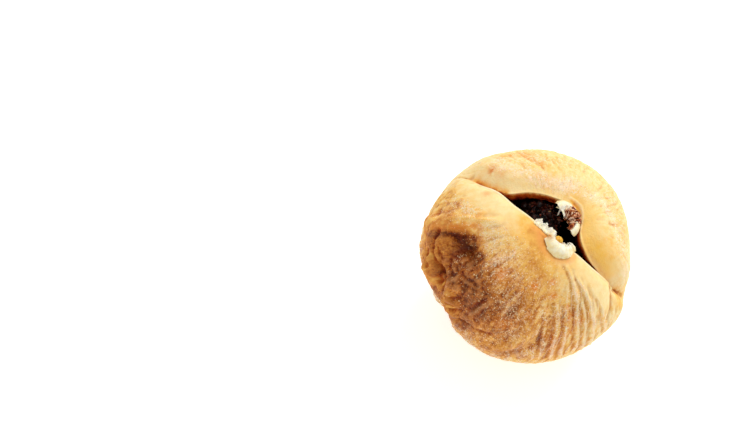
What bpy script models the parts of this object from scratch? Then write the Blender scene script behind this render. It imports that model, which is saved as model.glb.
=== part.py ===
"""A whole dried fig whose mouth has split open, lying on a table with its mouth up.

Every piece is worked out in the fig's own growing frame, and one empty then sets them all down:
+X runs along the split, +Y across it to the far lobe, and +Z out through the eye.
A place on the skin is a turn (round the split plane, 0 at the eye, + towards +X) and a tilt
(out of that plane, + towards the far lobe), or a polar angle from the eye with an azimuth from +X.
Angles are in degrees and sizes in millimetres until MM makes them metres.
"""

import math
from dataclasses import dataclass

import bmesh
import bpy
from mathutils import Matrix, Vector, noise

MM = 0.001

# The whole fruit, as half sizes from its centre.
HALF_ALONG = 13.2
HALF_FAR = 12.9
HALF_NEAR = 13.3
HALF_EYE = 11.9
HALF_STEM = 11.6
MEAN_RADIUS = 12.6

# How it lies: the centre's place over the table, the eye's lean and where it leans, and the split's turn.
CENTRE = (0.0, 0.17, 10.9)
EYE_LEAN = 22
LEAN_HEADING = -24
SPLIT_TURN = -8.5

# The stalk's end of the fruit, which has dried bent towards the near lobe.
STEM_POLAR = 152
STEM_AZIMUTH = -106
NECK_REACH, NECK_HEIGHT = 28, 0.7
PIT_REACH, PIT_DEPTH = 9.5, 1.5
PUCKER_COUNT, PUCKER_DEPTH = 9, 0.35
PUCKER_FROM, PUCKER_REACH = 30, 15

# The mouth, station by station: turn, middle of the split and half its width.
MOUTH = (
    (-78, 1.50, 0.08),
    (-66, 0.75, 0.10),
    (-56, 0.25, 0.25),
    (-47, 0.05, 0.55),
    (-39, 0.20, 1.05),
    (-31, 0.55, 1.65),
    (-22, 0.75, 2.20),
    (-10, 0.95, 2.55),
    (0, 1.05, 2.75),
    (6, 0.90, 2.60),
    (12, -0.40, 1.30),
    (20, -0.80, 0.78),
    (28, -0.95, 0.40),
    (38, -0.60, 0.18),
    (50, 0.10, 0.12),
    (66, 1.20, 0.08),
)
MOUTH_FROM, MOUTH_TO = -73, 62
LIP_PULL = 34  # how far from the split, in degrees of tilt, the skin is drawn aside by it
MOUTH_SIDE = -0.3  # the skin is drawn aside only where the unit direction's z is over this

# The lips fade in and out round the split over this many degrees, past both its ends.
LIPS_FROM, LIPS_TO, LIPS_FADE = -88, 76, 30

# The lips: how deep each rolls in at its edge, over what distance, and the swelling behind it.
NEAR_ROLL, NEAR_ROLL_WIDTH = 0.5, 0.7
FAR_ROLL, FAR_ROLL_WIDTH = 1.2, 1.8
SWELL, SWELL_AT, SWELL_WIDTH = 0.45, 3.2, 2.4

# The hollow under the mouth, ring by ring: depth at its deepest, and how far it widens under the lips.
HOLLOW_RINGS = ((0.3, -0.04), (1.3, 0.1), (3.0, 1.7), (5.6, 1.6), (7.6, -0.2))
HOLLOW_FULL_WIDTH = 1.6  # half the mouth's width where the hollow has its full depth
CREASE_SHARE = 0.07  # the share of the depth that is left where the split is a closed crease

GRID = 25  # faces along each side of the starting cube, odd so that one row runs under the split


@dataclass(frozen=True)
class Mark:
    """A round bump, or a dent where its height is negative, at a polar angle and an azimuth."""

    polar: float
    azimuth: float
    reach: float
    height: float


@dataclass(frozen=True)
class Fold:
    """A ridge, or a crease where its height is negative, along a path of (polar, azimuth) points."""

    path: tuple
    reach: float
    height: float


MARKS = (
    Mark(61, -135, 12, -1.6),  # the sunken cheek
    Mark(77, -144, 8, 0.9),  # the knob beside it
    Mark(89, -132, 7, 0.6),
    Mark(80, -115, 8, 0.5),
    Mark(91, -97, 5, -0.7),  # the pucker near the stalk
    Mark(52, -95, 22, 0.6),  # the full front of the near lobe
    Mark(62, 83, 30, 1.15),  # the full back of the far lobe
    Mark(67, 120, 18, 0.3),
    Mark(71, 30, 14, -0.3),
    Mark(80, 2, 13, 0.45),
    Mark(117, -110, 24, -1.3),  # drawn in towards the stalk
    Mark(112, -128, 10, -0.5),
    Mark(112, -60, 15, -0.3),
    Mark(104, 178, 20, -0.4),
    Mark(112, 60, 16, -0.5),
    Mark(118, -30, 18, -0.4),
)
FOLDS = (
    # The ridge over the cheek, and the creases from the knob beside it to the pucker.
    Fold(((44, -144), (49, -148), (56, -152), (63, -153), (72, -153), (86, -157)), 5.5, 0.6),
    Fold(((75, -141), (78, -135), (79, -129), (81, -125), (86, -122)), 5, -0.9),
    Fold(((74, -108), (82, -104), (91, -97)), 5, -0.5),
    Fold(((86, -122), (96, -118), (104, -110)), 5, -0.5),
    # The fold under the near lobe's front, and the crease below it.
    Fold(((62, -64), (70, -66), (78, -70), (87, -75), (96, -84)), 5.5, 0.6),
    Fold(((60, -59), (67, -59), (77, -64), (83, -68), (89, -72), (97, -80)), 5, -0.7),
    # The tuck at the end of the split.
    Fold(((53, -6), (58, 2), (66, 8), (75, 13)), 5, -0.4),
    # Folds of the back and the underside.
    Fold(((88, 95), (104, 100), (122, 108)), 6, -0.5),
    Fold(((92, 140), (110, 150), (126, 166)), 6, -0.45),
    Fold(((105, -10), (122, -30), (134, -60)), 6, -0.4),
    Fold(((100, 50), (118, 52), (132, 70)), 6, 0.4),
)


@dataclass(frozen=True)
class ScaleFan:
    """Half of the torn eye: papery scales that run from a rim in towards its middle."""

    turn: float  # where its middle lies
    offset: float
    bearings: tuple  # of each scale's root from the middle, 0 along the split and 90 to the far lobe
    root: float  # how far from the middle the scales begin and end
    tip: float
    root_width: float
    tip_width: float
    lift: float  # over the skin at the root
    curl: float  # more at the tip
    overlap: float  # more for every second scale, which lies on its neighbours


NEAR_FAN = ScaleFan(2, -1.65, (-166, -128, -90, -52, -14), 2.1, 0.5, 1.4, 0.6, 0.33, 0.15, 0.34)
FAR_FAN = ScaleFan(-1, 1.2, (22, 56, 90, 124, 158), 2.2, 0.5, 1.3, 0.45, -0.35, -0.7, -0.45)
SCALE_THICKNESS = 0.2
SCALE_CUP = 0.12
TIP_ROUNDING = 0.7

# The dried florets in the hollow: a long lumpy mass that follows it, higher on its far side.
PULP_TURN, PULP_REACH = -17, 22.5
PULP_OFFSET, PULP_HALF_WIDTH = 0.8, 2.7
PULP_OUT, PULP_HALF_HEIGHT = 6.8, 1.75
PULP_RISE = 0.7  # of its far edge over its middle
PULP_LUMP, PULP_LUMP_SIZE = 0.4, 1.3

# The seeds that show on the florets: turn, offset from the split's plane, and reach from the middle line.
SEED_HALF = (0.62, 0.48, 0.40)
SEEDS = ((-32, 1.2, 9.0), (-22, 1.9, 9.4), (-12, 1.4, 9.4), (-20, 0.1, 9.1), (-6, -0.5, 8.8))

STALK_SEAT = 0.65  # over the bottom of its pit, which is round while its foot is flat
STALK_LENGTH = 1.8
STALK_RADII = (1.1, 0.9, 0.7, 0.76, 0.84)  # from its foot to its cut end
STALK_CURL = 0.5  # how far its cut end leans up from the table

SKIN = ("dried_skin", (0.80, 0.52, 0.20, 1), 0.6)
PULP = ("dried_pulp", (0.10, 0.025, 0.012, 1), 0.35)
PAPER = ("eye_scale", (0.86, 0.74, 0.52, 1), 0.7)
SEED = ("seed", (0.72, 0.47, 0.16, 1), 0.4)
WOOD = ("stalk", (0.34, 0.19, 0.09, 1), 0.8)


def smooth(share):
    """An even ramp from 0 to 1."""
    share = min(1.0, max(0.0, share))
    return share * share * (3 - 2 * share)


def bell(distance, reach):
    return math.exp(-((distance / reach) ** 2))


def from_poles(polar, azimuth):
    """The unit direction at a polar angle from the eye and an azimuth from +X."""
    polar, azimuth = math.radians(polar), math.radians(azimuth)
    outwards = math.sin(polar)
    return Vector((outwards * math.cos(azimuth), outwards * math.sin(azimuth), math.cos(polar)))


def from_split(turn, tilt):
    """The unit direction at a turn round the split plane and a tilt out of it, both in radians."""
    return Vector((math.sin(turn) * math.cos(tilt), math.sin(tilt), math.cos(turn) * math.cos(tilt)))


STEM = from_poles(STEM_POLAR, STEM_AZIMUTH)


def mouth_at(turn):
    """The split's middle and half width at a turn in degrees, eased from station to station."""
    if turn <= MOUTH[0][0]:
        return MOUTH[0][1:]
    for (low, middle_a, half_a), (high, middle_b, half_b) in zip(MOUTH, MOUTH[1:]):
        if turn <= high:
            share = smooth((turn - low) / (high - low))
            return middle_a + share * (middle_b - middle_a), half_a + share * (half_b - half_a)
    return MOUTH[-1][1:]


def split_strength(turn):
    """1 along the mouth, fading to 0 past the ends of the split."""
    return smooth((turn - LIPS_FROM) / LIPS_FADE) * smooth((LIPS_TO - turn) / LIPS_FADE)


def lip_relief(turn, offset):
    """The lips' roll and swelling at an offset from the split's plane."""
    middle, half = mouth_at(turn)
    from_edge = max(0.0, abs(offset - middle) - half)
    if offset > middle:
        roll = FAR_ROLL * bell(from_edge, FAR_ROLL_WIDTH)
    else:
        roll = NEAR_ROLL * bell(from_edge, NEAR_ROLL_WIDTH)
    swell = SWELL * bell(from_edge - SWELL_AT, SWELL_WIDTH)
    return split_strength(turn) * (swell - roll)


def distance_to_path(direction, path):
    """Degrees from a direction to the nearest point of a path on the sphere."""
    nearest = math.pi
    for a, b in zip(path, path[1:]):
        start, end = from_poles(*a), from_poles(*b)
        share = min(1.0, max(0.0, (direction - start).dot(end - start) / (end - start).length_squared))
        nearest = min(nearest, direction.angle(start.lerp(end, share)))
    return math.degrees(nearest)


def stem_relief(direction):
    """The short neck at the stalk, the pit that holds it, and the puckers drawn in around it."""
    away = math.degrees(direction.angle(STEM))
    sideways = STEM.orthogonal().normalized()
    around = math.atan2(direction.dot(STEM.cross(sideways)), direction.dot(sideways))
    puckers = PUCKER_DEPTH * math.cos(PUCKER_COUNT * around) * bell(away - PUCKER_FROM, PUCKER_REACH)
    return NECK_HEIGHT * bell(away, NECK_REACH) - PIT_DEPTH * bell(away, PIT_REACH) + puckers


def skin_radius(direction):
    """Millimetres from the fig's centre to its skin."""
    along = direction.x / HALF_ALONG
    across = direction.y / (HALF_FAR if direction.y > 0 else HALF_NEAR)
    out = direction.z / (HALF_EYE if direction.z > 0 else HALF_STEM)
    radius = 1 / math.sqrt(along**2 + across**2 + out**2)
    turn = math.degrees(math.atan2(direction.x, direction.z))
    radius += lip_relief(turn, math.asin(direction.y) * MEAN_RADIUS)
    for mark in MARKS:
        away = math.degrees(direction.angle(from_poles(mark.polar, mark.azimuth)))
        radius += mark.height * bell(away, mark.reach)
    for fold in FOLDS:
        radius += fold.height * bell(distance_to_path(direction, fold.path), fold.reach)
    return radius + stem_relief(direction)


def table_matrix():
    """From the growing frame, in metres, to the fig as it lies."""
    heading = Matrix.Rotation(math.radians(LEAN_HEADING), 4, "Z")
    lean = Matrix.Rotation(math.radians(EYE_LEAN), 4, "Y")
    turn = Matrix.Rotation(math.radians(SPLIT_TURN), 4, "Z")
    return Matrix.Translation(Vector(CENTRE) * MM) @ heading @ lean @ turn


def material(name, colour, roughness):
    made = bpy.data.materials.get(name) or bpy.data.materials.new(name)
    made.use_nodes = True
    shader = made.node_tree.nodes["Principled BSDF"]
    shader.inputs["Base Color"].default_value = colour
    shader.inputs["Roughness"].default_value = roughness
    shader.inputs["Metallic"].default_value = 0
    return made


def finish(obj, name, look, frame):
    """Names a piece, gives it its material and smooth faces, and puts it in the fig's frame."""
    obj.name = name
    obj.data.name = name
    obj.data.materials.append(material(*look))
    if obj.type == "MESH":
        obj.data.shade_smooth()
    for collection in obj.users_collection:
        collection.objects.unlink(obj)
    frame.users_collection[0].objects.link(obj)
    obj.parent = frame
    return obj


def ball_grid():
    """A cube of square faces blown up to a unit ball, with one row of faces centred on the split."""
    grid = bmesh.new()
    bmesh.ops.create_cube(grid, size=2)
    bmesh.ops.subdivide_edges(grid, edges=grid.edges[:], cuts=GRID - 1, use_grid_fill=True)
    for vert in grid.verts:
        vert.co = Vector([math.tan(part * math.pi / 4) for part in vert.co]).normalized()
    return grid


def part_the_skin(grid, turns, sides):
    """Draws the rows of vertices on each side of the split out to the lips' edges."""
    row = math.tan(math.radians(45 / GRID))
    for vert in grid.verts:
        x, y, z = vert.co
        turn = math.atan2(x, z)
        if z < MOUTH_SIDE or not MOUTH[0][0] < math.degrees(turn) < MOUTH[-1][0]:
            continue
        side = math.copysign(1, y)
        tilt = abs(math.asin(y))
        lip_tilt = math.atan(row * max(abs(x), z) / math.hypot(x, z))
        middle, half = mouth_at(math.degrees(turn))
        edge = (half + side * middle) / MEAN_RADIUS
        pull = math.radians(LIP_PULL)
        if tilt < pull:
            tilt = edge + (tilt - lip_tilt) * (pull - edge) / (pull - lip_tilt)
            vert.co = from_split(turn, side * tilt)
        if abs(tilt - edge) < 1e-4:
            vert[turns] = math.degrees(turn)
            vert[sides] = side


def in_mouth(turn, offset, reach):
    """A point at a turn, an offset from the split's plane and a reach out from the fig's middle line."""
    return Vector((reach * math.sin(math.radians(turn)), offset, reach * math.cos(math.radians(turn))))


def hollow_point(turn, side, depth, widening):
    """A point on the wall of the hollow, at a depth below the lip's edge."""
    middle, half = mouth_at(turn)
    share = smooth(half / HOLLOW_FULL_WIDTH)
    edge = middle + side * half
    lip = skin_radius(from_split(math.radians(turn), edge / MEAN_RADIUS))
    reach = lip * math.cos(edge / MEAN_RADIUS) - depth * max(CREASE_SHARE, share)
    offset = lip * math.sin(edge / MEAN_RADIUS) + side * widening * (share if widening > 0 else half)
    return in_mouth(turn, offset, reach)


def sink_the_hollow(grid, turns, sides):
    """Extrudes the faces between the lips inwards, ring by ring."""
    strip = [
        face
        for face in grid.faces
        if all(vert[sides] for vert in face.verts)
        and MOUTH_FROM < sum(vert[turns] for vert in face.verts) / 4 < MOUTH_TO
    ]
    for depth, widening in HOLLOW_RINGS:
        borders = list({edge for face in strip for edge in face.edges})
        made = bmesh.ops.extrude_face_region(grid, geom=strip + borders)["geom"]
        strip = [item for item in made if isinstance(item, bmesh.types.BMFace)]
        for vert in (item for item in made if isinstance(item, bmesh.types.BMVert)):
            vert.co = hollow_point(vert[turns], vert[sides], depth, widening)


def rest_on_the_table(grid):
    """Presses flat what would lie below the table, as the fruit was when it dried."""
    to_table = table_matrix()
    up = to_table.to_3x3().inverted() @ Vector((0, 0, 1))
    for vert in grid.verts:
        height = (to_table @ (vert.co * MM)).z / MM
        if height < 0:
            vert.co -= up * height


def make_body(frame):
    """Skin and flesh in one solid: lobes, folds, lips and the hollow behind the mouth."""
    grid = ball_grid()
    turns = grid.verts.layers.float.new("turn")
    sides = grid.verts.layers.float.new("side")
    part_the_skin(grid, turns, sides)
    for vert in grid.verts:
        vert.co = vert.co * skin_radius(vert.co)
    sink_the_hollow(grid, turns, sides)
    rest_on_the_table(grid)
    bmesh.ops.scale(grid, vec=(MM, MM, MM), verts=grid.verts)
    bmesh.ops.recalc_face_normals(grid, faces=grid.faces)
    mesh = bpy.data.meshes.new("fig_body")
    grid.to_mesh(mesh)
    grid.free()
    body = bpy.data.objects.new("fig_body", mesh)
    bpy.context.scene.collection.objects.link(body)
    return finish(body, "fig_body", SKIN, frame)


def make_pulp(frame):
    """The lumpy mass of dried florets that lies in the hollow."""
    bpy.ops.mesh.primitive_ico_sphere_add(subdivisions=3, radius=1)
    pulp = bpy.context.object
    for vert in pulp.data.vertices:
        along, across, out = vert.co
        at = in_mouth(
            PULP_TURN + PULP_REACH * along,
            PULP_OFFSET + PULP_HALF_WIDTH * across,
            PULP_OUT + PULP_HALF_HEIGHT * out + PULP_RISE * across,
        )
        vert.co = (at + vert.co * PULP_LUMP * noise.noise(at / PULP_LUMP_SIZE)) * MM
    return finish(pulp, "pulp", PULP, frame)


def make_scale(name, fan, number, frame):
    """A cupped scale, widest at its root on the fan's rim."""
    rows, columns = 5, 4
    bpy.ops.mesh.primitive_grid_add(x_subdivisions=columns, y_subdivisions=rows, size=2)
    made = bpy.context.object
    bearing = math.radians(fan.bearings[number])
    lift = fan.lift + fan.overlap * (number % 2)
    outwards = Vector((math.cos(bearing), math.sin(bearing)))
    for vert in made.data.vertices:
        forward = (vert.co.y + 1) / 2
        width = fan.root_width + forward * (fan.tip_width - fan.root_width)
        width *= math.sqrt(1 - TIP_ROUNDING * forward**6)
        place = outwards * (fan.root + forward * (fan.tip - fan.root))
        place += outwards.orthogonal() * vert.co.x * width / 2
        direction = from_split(
            math.radians(fan.turn) + place.x / MEAN_RADIUS, (fan.offset + place.y) / MEAN_RADIUS
        )
        height = lift + fan.curl * forward**2 - SCALE_CUP * vert.co.x**2 * (1 - forward)
        vert.co = direction * (skin_radius(direction) + height) * MM
    plate = made.modifiers.new("plate", "SOLIDIFY")
    plate.thickness = SCALE_THICKNESS * MM
    plate.offset = 0
    return finish(made, name, PAPER, frame)


def make_seed(name, place, frame):
    """One pip, a flattened ball, lying on the pulp."""
    bpy.ops.mesh.primitive_uv_sphere_add(segments=10, ring_count=6, radius=1)
    seed = bpy.context.object
    for vert in seed.data.vertices:
        vert.co = Vector(a * b for a, b in zip(vert.co, SEED_HALF)) * MM
    turn, offset, _ = place
    seed.location = in_mouth(*place) * MM
    seed.rotation_euler = (math.radians(20 * offset), math.radians(turn), math.radians(3 * turn))
    return finish(seed, name, SEED, frame)


def make_stalk(frame):
    """The dried stub of the stalk, seated in its pit and curling up to its cut end."""
    up = table_matrix().to_3x3().inverted() @ Vector((0, 0, 1))
    foot = STEM * (skin_radius(STEM) + STALK_SEAT)
    outline = bpy.data.curves.new("stalk", "CURVE")
    outline.dimensions = "3D"
    outline.bevel_depth = MM
    outline.bevel_resolution = 2
    outline.use_fill_caps = True
    line = outline.splines.new("POLY")
    line.points.add(len(STALK_RADII) - 1)
    for number, radius in enumerate(STALK_RADII):
        share = number / (len(STALK_RADII) - 1)
        at = foot + STEM * share * STALK_LENGTH + up * STALK_CURL * share**2
        line.points[number].co = (*(at * MM), 1)
        line.points[number].radius = radius
    stalk = bpy.data.objects.new("stalk", outline)
    bpy.context.scene.collection.objects.link(stalk)
    return finish(stalk, "stalk", WOOD, frame)


def clear_scene():
    for obj in list(bpy.data.objects):
        bpy.data.objects.remove(obj)


def main():
    clear_scene()
    collection = bpy.data.collections.new("dried_fig")
    bpy.context.scene.collection.children.link(collection)
    frame = bpy.data.objects.new("growing_frame", None)
    collection.objects.link(frame)
    frame.matrix_world = table_matrix()
    make_body(frame)
    make_pulp(frame)
    make_stalk(frame)
    for side, fan in (("near", NEAR_FAN), ("far", FAR_FAN)):
        for number in range(len(fan.bearings)):
            make_scale(f"{side}_eye_scale_{number + 1}", fan, number, frame)
    for number, place in enumerate(SEEDS, 1):
        make_seed(f"seed_{number}", place, frame)


main()
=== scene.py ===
"""The looks of a dried fig whose mouth has split open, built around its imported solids.

Every piece is shaped in the fig's own growing frame, in millimetres: +X runs along the split, +Y across
it to the far lobe, and +Z out through the eye. lay_down() then sets it on the table, in metres.
A place on the skin is a polar angle from the eye with an azimuth from +X, or a turn round the split
plane (0 at the eye, + towards +X) with an offset out of that plane (+ towards the far lobe).
"""

import logging
import math
from dataclasses import dataclass, field
from enum import Enum
from functools import partial, reduce
from typing import Any, Callable, Iterable, Sequence

import bpy
import numpy as np
from bpy.types import Material, Mesh, Node, NodeSocket, Object
from mathutils import Euler, Matrix, Vector, noise


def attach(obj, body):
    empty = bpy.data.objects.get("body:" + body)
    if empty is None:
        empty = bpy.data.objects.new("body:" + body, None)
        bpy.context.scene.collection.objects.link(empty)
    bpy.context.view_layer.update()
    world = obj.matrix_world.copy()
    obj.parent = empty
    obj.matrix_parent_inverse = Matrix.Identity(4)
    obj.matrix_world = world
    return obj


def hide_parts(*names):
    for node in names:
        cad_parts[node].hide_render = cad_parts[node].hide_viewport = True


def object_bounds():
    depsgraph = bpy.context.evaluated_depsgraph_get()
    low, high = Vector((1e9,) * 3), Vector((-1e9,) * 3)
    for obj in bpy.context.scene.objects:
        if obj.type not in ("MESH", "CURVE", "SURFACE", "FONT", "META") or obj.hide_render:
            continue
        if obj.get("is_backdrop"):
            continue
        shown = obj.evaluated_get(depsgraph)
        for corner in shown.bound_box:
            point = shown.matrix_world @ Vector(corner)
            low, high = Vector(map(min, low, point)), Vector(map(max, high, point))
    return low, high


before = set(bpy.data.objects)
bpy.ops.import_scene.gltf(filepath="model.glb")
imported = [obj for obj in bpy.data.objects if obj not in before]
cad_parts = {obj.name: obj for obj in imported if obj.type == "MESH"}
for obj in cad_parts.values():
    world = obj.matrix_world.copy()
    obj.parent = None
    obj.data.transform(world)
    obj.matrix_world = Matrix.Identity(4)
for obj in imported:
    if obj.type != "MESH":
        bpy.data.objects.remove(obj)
CAD_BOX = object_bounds()

MM = 0.001
Array = np.ndarray
Path = tuple[tuple[float, float], ...]
Place = tuple[float, float, float]
Stops = tuple[tuple[float, str], ...]
log = logging.getLogger("fig")


# ---- measuring helpers


def smooth(share: Array) -> Array:
    """An even ramp from 0 where share is 0 to 1 where it is 1, held there outside."""
    share = np.clip(share, 0.0, 1.0)
    return share * share * (3 - 2 * share)


def between(value: Array, low: float, high: float) -> Array:
    """An even ramp from 0 where value is low to 1 where it is high."""
    return smooth((np.asarray(value, float) - low) / (high - low))


def bell(distance: Array, reach: float) -> Array:
    """1 at no distance, falling to 1/e at reach."""
    return np.exp(-((distance / reach) ** 2))


def from_poles(polar: Array, azimuth: Array) -> Array:
    """The unit direction at a polar angle from the eye and an azimuth from +X, in degrees."""
    polar, azimuth = np.radians(polar), np.radians(azimuth)
    return np.stack([np.sin(polar) * np.cos(azimuth), np.sin(polar) * np.sin(azimuth), np.cos(polar)], -1)


def from_split(turn: Array, tilt: Array) -> Array:
    """The unit direction at a turn round the split plane and a tilt out of it, in radians."""
    return np.stack([np.sin(turn) * np.cos(tilt), np.sin(tilt), np.cos(turn) * np.cos(tilt)], -1)


def polar_of(directions: Array) -> Array:
    """Each direction's polar angle from the eye, in degrees."""
    return np.degrees(np.arccos(np.clip(directions[:, 2], -1, 1)))


def turn_of(directions: Array) -> Array:
    """Each direction's turn round the split plane, in degrees."""
    return np.degrees(np.arctan2(directions[:, 0], directions[:, 2]))


def in_mouth(turn: Array, offset: Array, reach: Array) -> Array:
    """A point at a turn in degrees, an offset from the split's plane and a reach out from the centre."""
    return np.stack([reach * np.sin(np.radians(turn)), offset, reach * np.cos(np.radians(turn))], -1)


def degrees_between(directions: Array, axis: Array) -> Array:
    """Degrees from each unit direction to one axis."""
    return np.degrees(np.arccos(np.clip(directions @ axis, -1.0, 1.0)))


def grain(points: Array, size: float, octaves: int = 1, seed: float = 0.0) -> Array:
    """Smooth noise near -1 to 1 at points: its lumps' size, how many finer layers, and a seed."""
    shift = Vector((seed * 7.3, -seed * 3.1, seed * 5.7))
    return np.array([noise.fractal(Vector(p) / size + shift, 0.9, 2.1, octaves) for p in points])


@dataclass(frozen=True)
class Spot:
    """A round place on the skin, and how strong something is at its middle."""

    polar: float
    azimuth: float
    reach: float
    strength: float

    def at(self, directions: Array) -> Array:
        """Its strength at each unit direction."""
        away = degrees_between(directions, from_poles(self.polar, self.azimuth))
        return self.strength * bell(away, self.reach)


@dataclass(frozen=True)
class Line:
    """A line on the skin through places of (polar, azimuth), and how strong something is on it."""

    path: Path
    reach: float
    strength: float

    def aside(self, directions: Array) -> Array:
        """How far each direction lies from the line.

        Args:
            directions: Unit directions.

        Returns:
            Degrees from the line, + on the left of its way along the skin.
        """
        nearest = np.full(len(directions), 180.0)
        for a, b in zip(self.path, self.path[1:]):
            start, end = from_poles(*a), from_poles(*b)
            along = end - start
            share = np.clip((directions - start) @ along / (along @ along), 0, 1)
            point = start + share[:, None] * along
            point /= np.linalg.norm(point, axis=1, keepdims=True)
            away = np.degrees(np.arccos(np.clip((directions * point).sum(1), -1, 1)))
            side = np.where(directions @ np.cross(start, end) < 0, -1.0, 1.0)
            nearest = np.where(away < np.abs(nearest), side * away, nearest)
        return nearest

    def at(self, directions: Array) -> Array:
        """Its strength at each unit direction."""
        return self.strength * bell(self.aside(directions), self.reach)


def total(marks: Iterable[Spot | Line], directions: Array) -> Array:
    """The sum of what marks give at each direction."""
    return sum((mark.at(directions) for mark in marks), np.zeros(len(directions)))


def cover(marks: Iterable[Spot | Line], directions: Array) -> Array:
    """How far marks cover the skin, where marks that overlap don't add up past 1.

    Args:
        marks: The spots and lines.
        directions: Unit directions.

    Returns:
        A share from 0 to 1 for each direction.
    """
    bare = np.ones(len(directions))
    for mark in marks:
        bare *= 1 - np.clip(mark.at(directions), 0, 1)
    return 1 - bare


def spots(*rows: Sequence[float]) -> tuple[Spot, ...]:
    """A Spot from each row of polar, azimuth, reach and strength."""
    return tuple(Spot(*row) for row in rows)


def lines(*rows: Sequence[Any]) -> tuple[Line, ...]:
    """A Line from each row of reach, strength and then the places on its path."""
    return tuple(Line(tuple(path), reach, strength) for reach, strength, *path in rows)


# ---- the fruit's form

FAR_EDGE: Path = ((23, 106), (22.5, 95), (21.5, 85), (19.5, 75.5), (17.5, 66), (15.5, 55), (13.5, 39.5))


@dataclass(frozen=True)
class FigForm:
    """The fruit's main shape, as its solids have it: a lobed ball with lips, folds and a stalk's pit.

    Lengths are in millimetres and angles in degrees. A mouth station is a turn, with the offset of the
    split's middle and half its width there.
    """

    half_along: float = 13.2
    half_far: float = 12.9
    half_near: float = 13.3
    half_eye: float = 11.9
    half_stem: float = 11.6
    mean_radius: float = 12.6
    centre: Place = (0.0, 0.17, 10.9)
    lean_heading: float = -24
    eye_lean: float = 22
    split_turn: float = -8.5
    stem_polar: float = 152
    stem_azimuth: float = -106
    mouth_stations: tuple[tuple[float, float, float], ...] = (
        (-78, 1.5, 0.08), (-66, 0.75, 0.1), (-56, 0.25, 0.25), (-47, 0.1, 0.22), (-41, -0.05, 0.38),
        (-36, 0.09, 0.98), (-31, 0.4, 1.66), (-22, 0.8, 2.33), (-10, 1.00, 2.95), (0, 1.1, 3.25),
        (6, 0.95, 3.00), (12, -0.35, 1.45), (20, -0.8, 0.78), (28, -0.95, 0.4), (38, -0.6, 0.18),
        (50, 0.1, 0.12), (66, 1.2, 0.08),
    )
    mouth_blur: tuple[float, ...] = (-3.0, -1.5, 0.0, 1.5, 3.0)
    lip_blur: tuple[float, ...] = (-7, -3.5, 0, 3.5, 7)
    split_from: float = -88
    split_to: float = 76
    split_fade: float = 30
    puckers: int = 9
    swells: tuple[Spot, ...] = spots(
        (61, -135, 12, -1.6), (77, -144, 8, 0.9), (89, -132, 7, 0.6), (80, -115, 8, 0.5),
        (91, -97, 5, -0.7), (52, -95, 22, 0.6), (62, 83, 30, 1.15), (67, 120, 18, 0.3),
        (71, 30, 14, -0.3), (80, 2, 13, 0.45), (117, -110, 24, -1.3), (112, -128, 10, -0.5),
        (112, -60, 15, -0.3), (104, 178, 20, -0.4), (112, 60, 16, -0.5), (118, -30, 18, -0.4),
    )
    folds: tuple[Line, ...] = lines(
        (5.5, 0.6, (44, -144), (49, -148), (56, -152), (63, -153), (72, -153), (86, -157)),
        (5, -0.9, (75, -141), (78, -135), (79, -129), (81, -125), (86, -122)),
        (5, -0.5, (74, -108), (82, -104), (91, -97)),
        (5, -0.5, (86, -122), (96, -118), (104, -110)),
        (5.5, 0.6, (62, -64), (70, -66), (78, -70), (87, -75), (96, -84)),
        (5, -0.7, (60, -59), (67, -59), (77, -64), (83, -68), (89, -72), (97, -80)),
        (5, -0.4, (53, -6), (58, 2), (66, 8), (75, 13)),
        (6, -0.5, (88, 95), (104, 100), (122, 108)),
        (6, -0.45, (92, 140), (110, 150), (126, 166)),
        (6, -0.4, (105, -10), (122, -30), (134, -60)),
        (6, 0.4, (100, 50), (118, 52), (132, 70)),
    )

    @property
    def stem(self) -> Array:
        """The unit direction of the stalk."""
        return from_poles(self.stem_polar, self.stem_azimuth)

    def table_matrix(self) -> Matrix:
        """Where the growing frame lies.

        Returns:
            The matrix from it, in metres, to the row frame.
        """
        heading = Matrix.Rotation(math.radians(self.lean_heading), 4, "Z")
        lean = Matrix.Rotation(math.radians(self.eye_lean), 4, "Y")
        turn = Matrix.Rotation(math.radians(self.split_turn), 4, "Z")
        return Matrix.Translation(Vector(self.centre) * MM) @ heading @ lean @ turn

    def lay_down(self, points: Array) -> Array:
        """Points of the growing frame, in millimetres, as points of the row frame, in metres."""
        matrix = np.array(self.table_matrix())
        return points * MM @ matrix[:3, :3].T + matrix[:3, 3]

    def offset_of(self, directions: Array) -> Array:
        """Each direction's offset from the split's plane along the skin, in millimetres."""
        return np.arcsin(np.clip(directions[:, 1], -1, 1)) * self.mean_radius

    def mouth(self, turn: Array) -> tuple[Array, Array]:
        """The split's middle and half width.

        Args:
            turn: Round the split plane, in degrees.

        Returns:
            The offset of its middle and half its width at each turn, in millimetres.
        """
        at, middles, halves = np.array(self.mouth_stations).T
        near_by = [turn + shift for shift in self.mouth_blur]
        middle = np.mean([np.interp(place, at, middles) for place in near_by], axis=0)
        return middle, np.mean([np.interp(place, at, halves) for place in near_by], axis=0)

    def split_strength(self, turn: Array) -> Array:
        """1 along the mouth, fading to 0 past the ends of the split."""
        started = smooth((turn - self.split_from) / self.split_fade)
        return started * smooth((self.split_to - turn) / self.split_fade)

    def lip_relief(self, turn: Array, offset: Array) -> Array:
        """The lips' roll and the swelling behind it.

        Args:
            turn: Round the split plane, in degrees.
            offset: Out of that plane, in millimetres along the skin.

        Returns:
            What they add to the radius, in millimetres.
        """
        middle, half = np.mean([self.mouth(turn + shift) for shift in self.lip_blur], axis=0)
        from_edge = np.maximum(0.0, np.abs(offset - middle) - half)
        roll = np.where(offset > middle, 1.2 * bell(from_edge, 1.8), 0.5 * bell(from_edge, 0.7))
        return self.split_strength(turn) * (0.45 * bell(from_edge - 3.2, 2.4) - roll)

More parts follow.
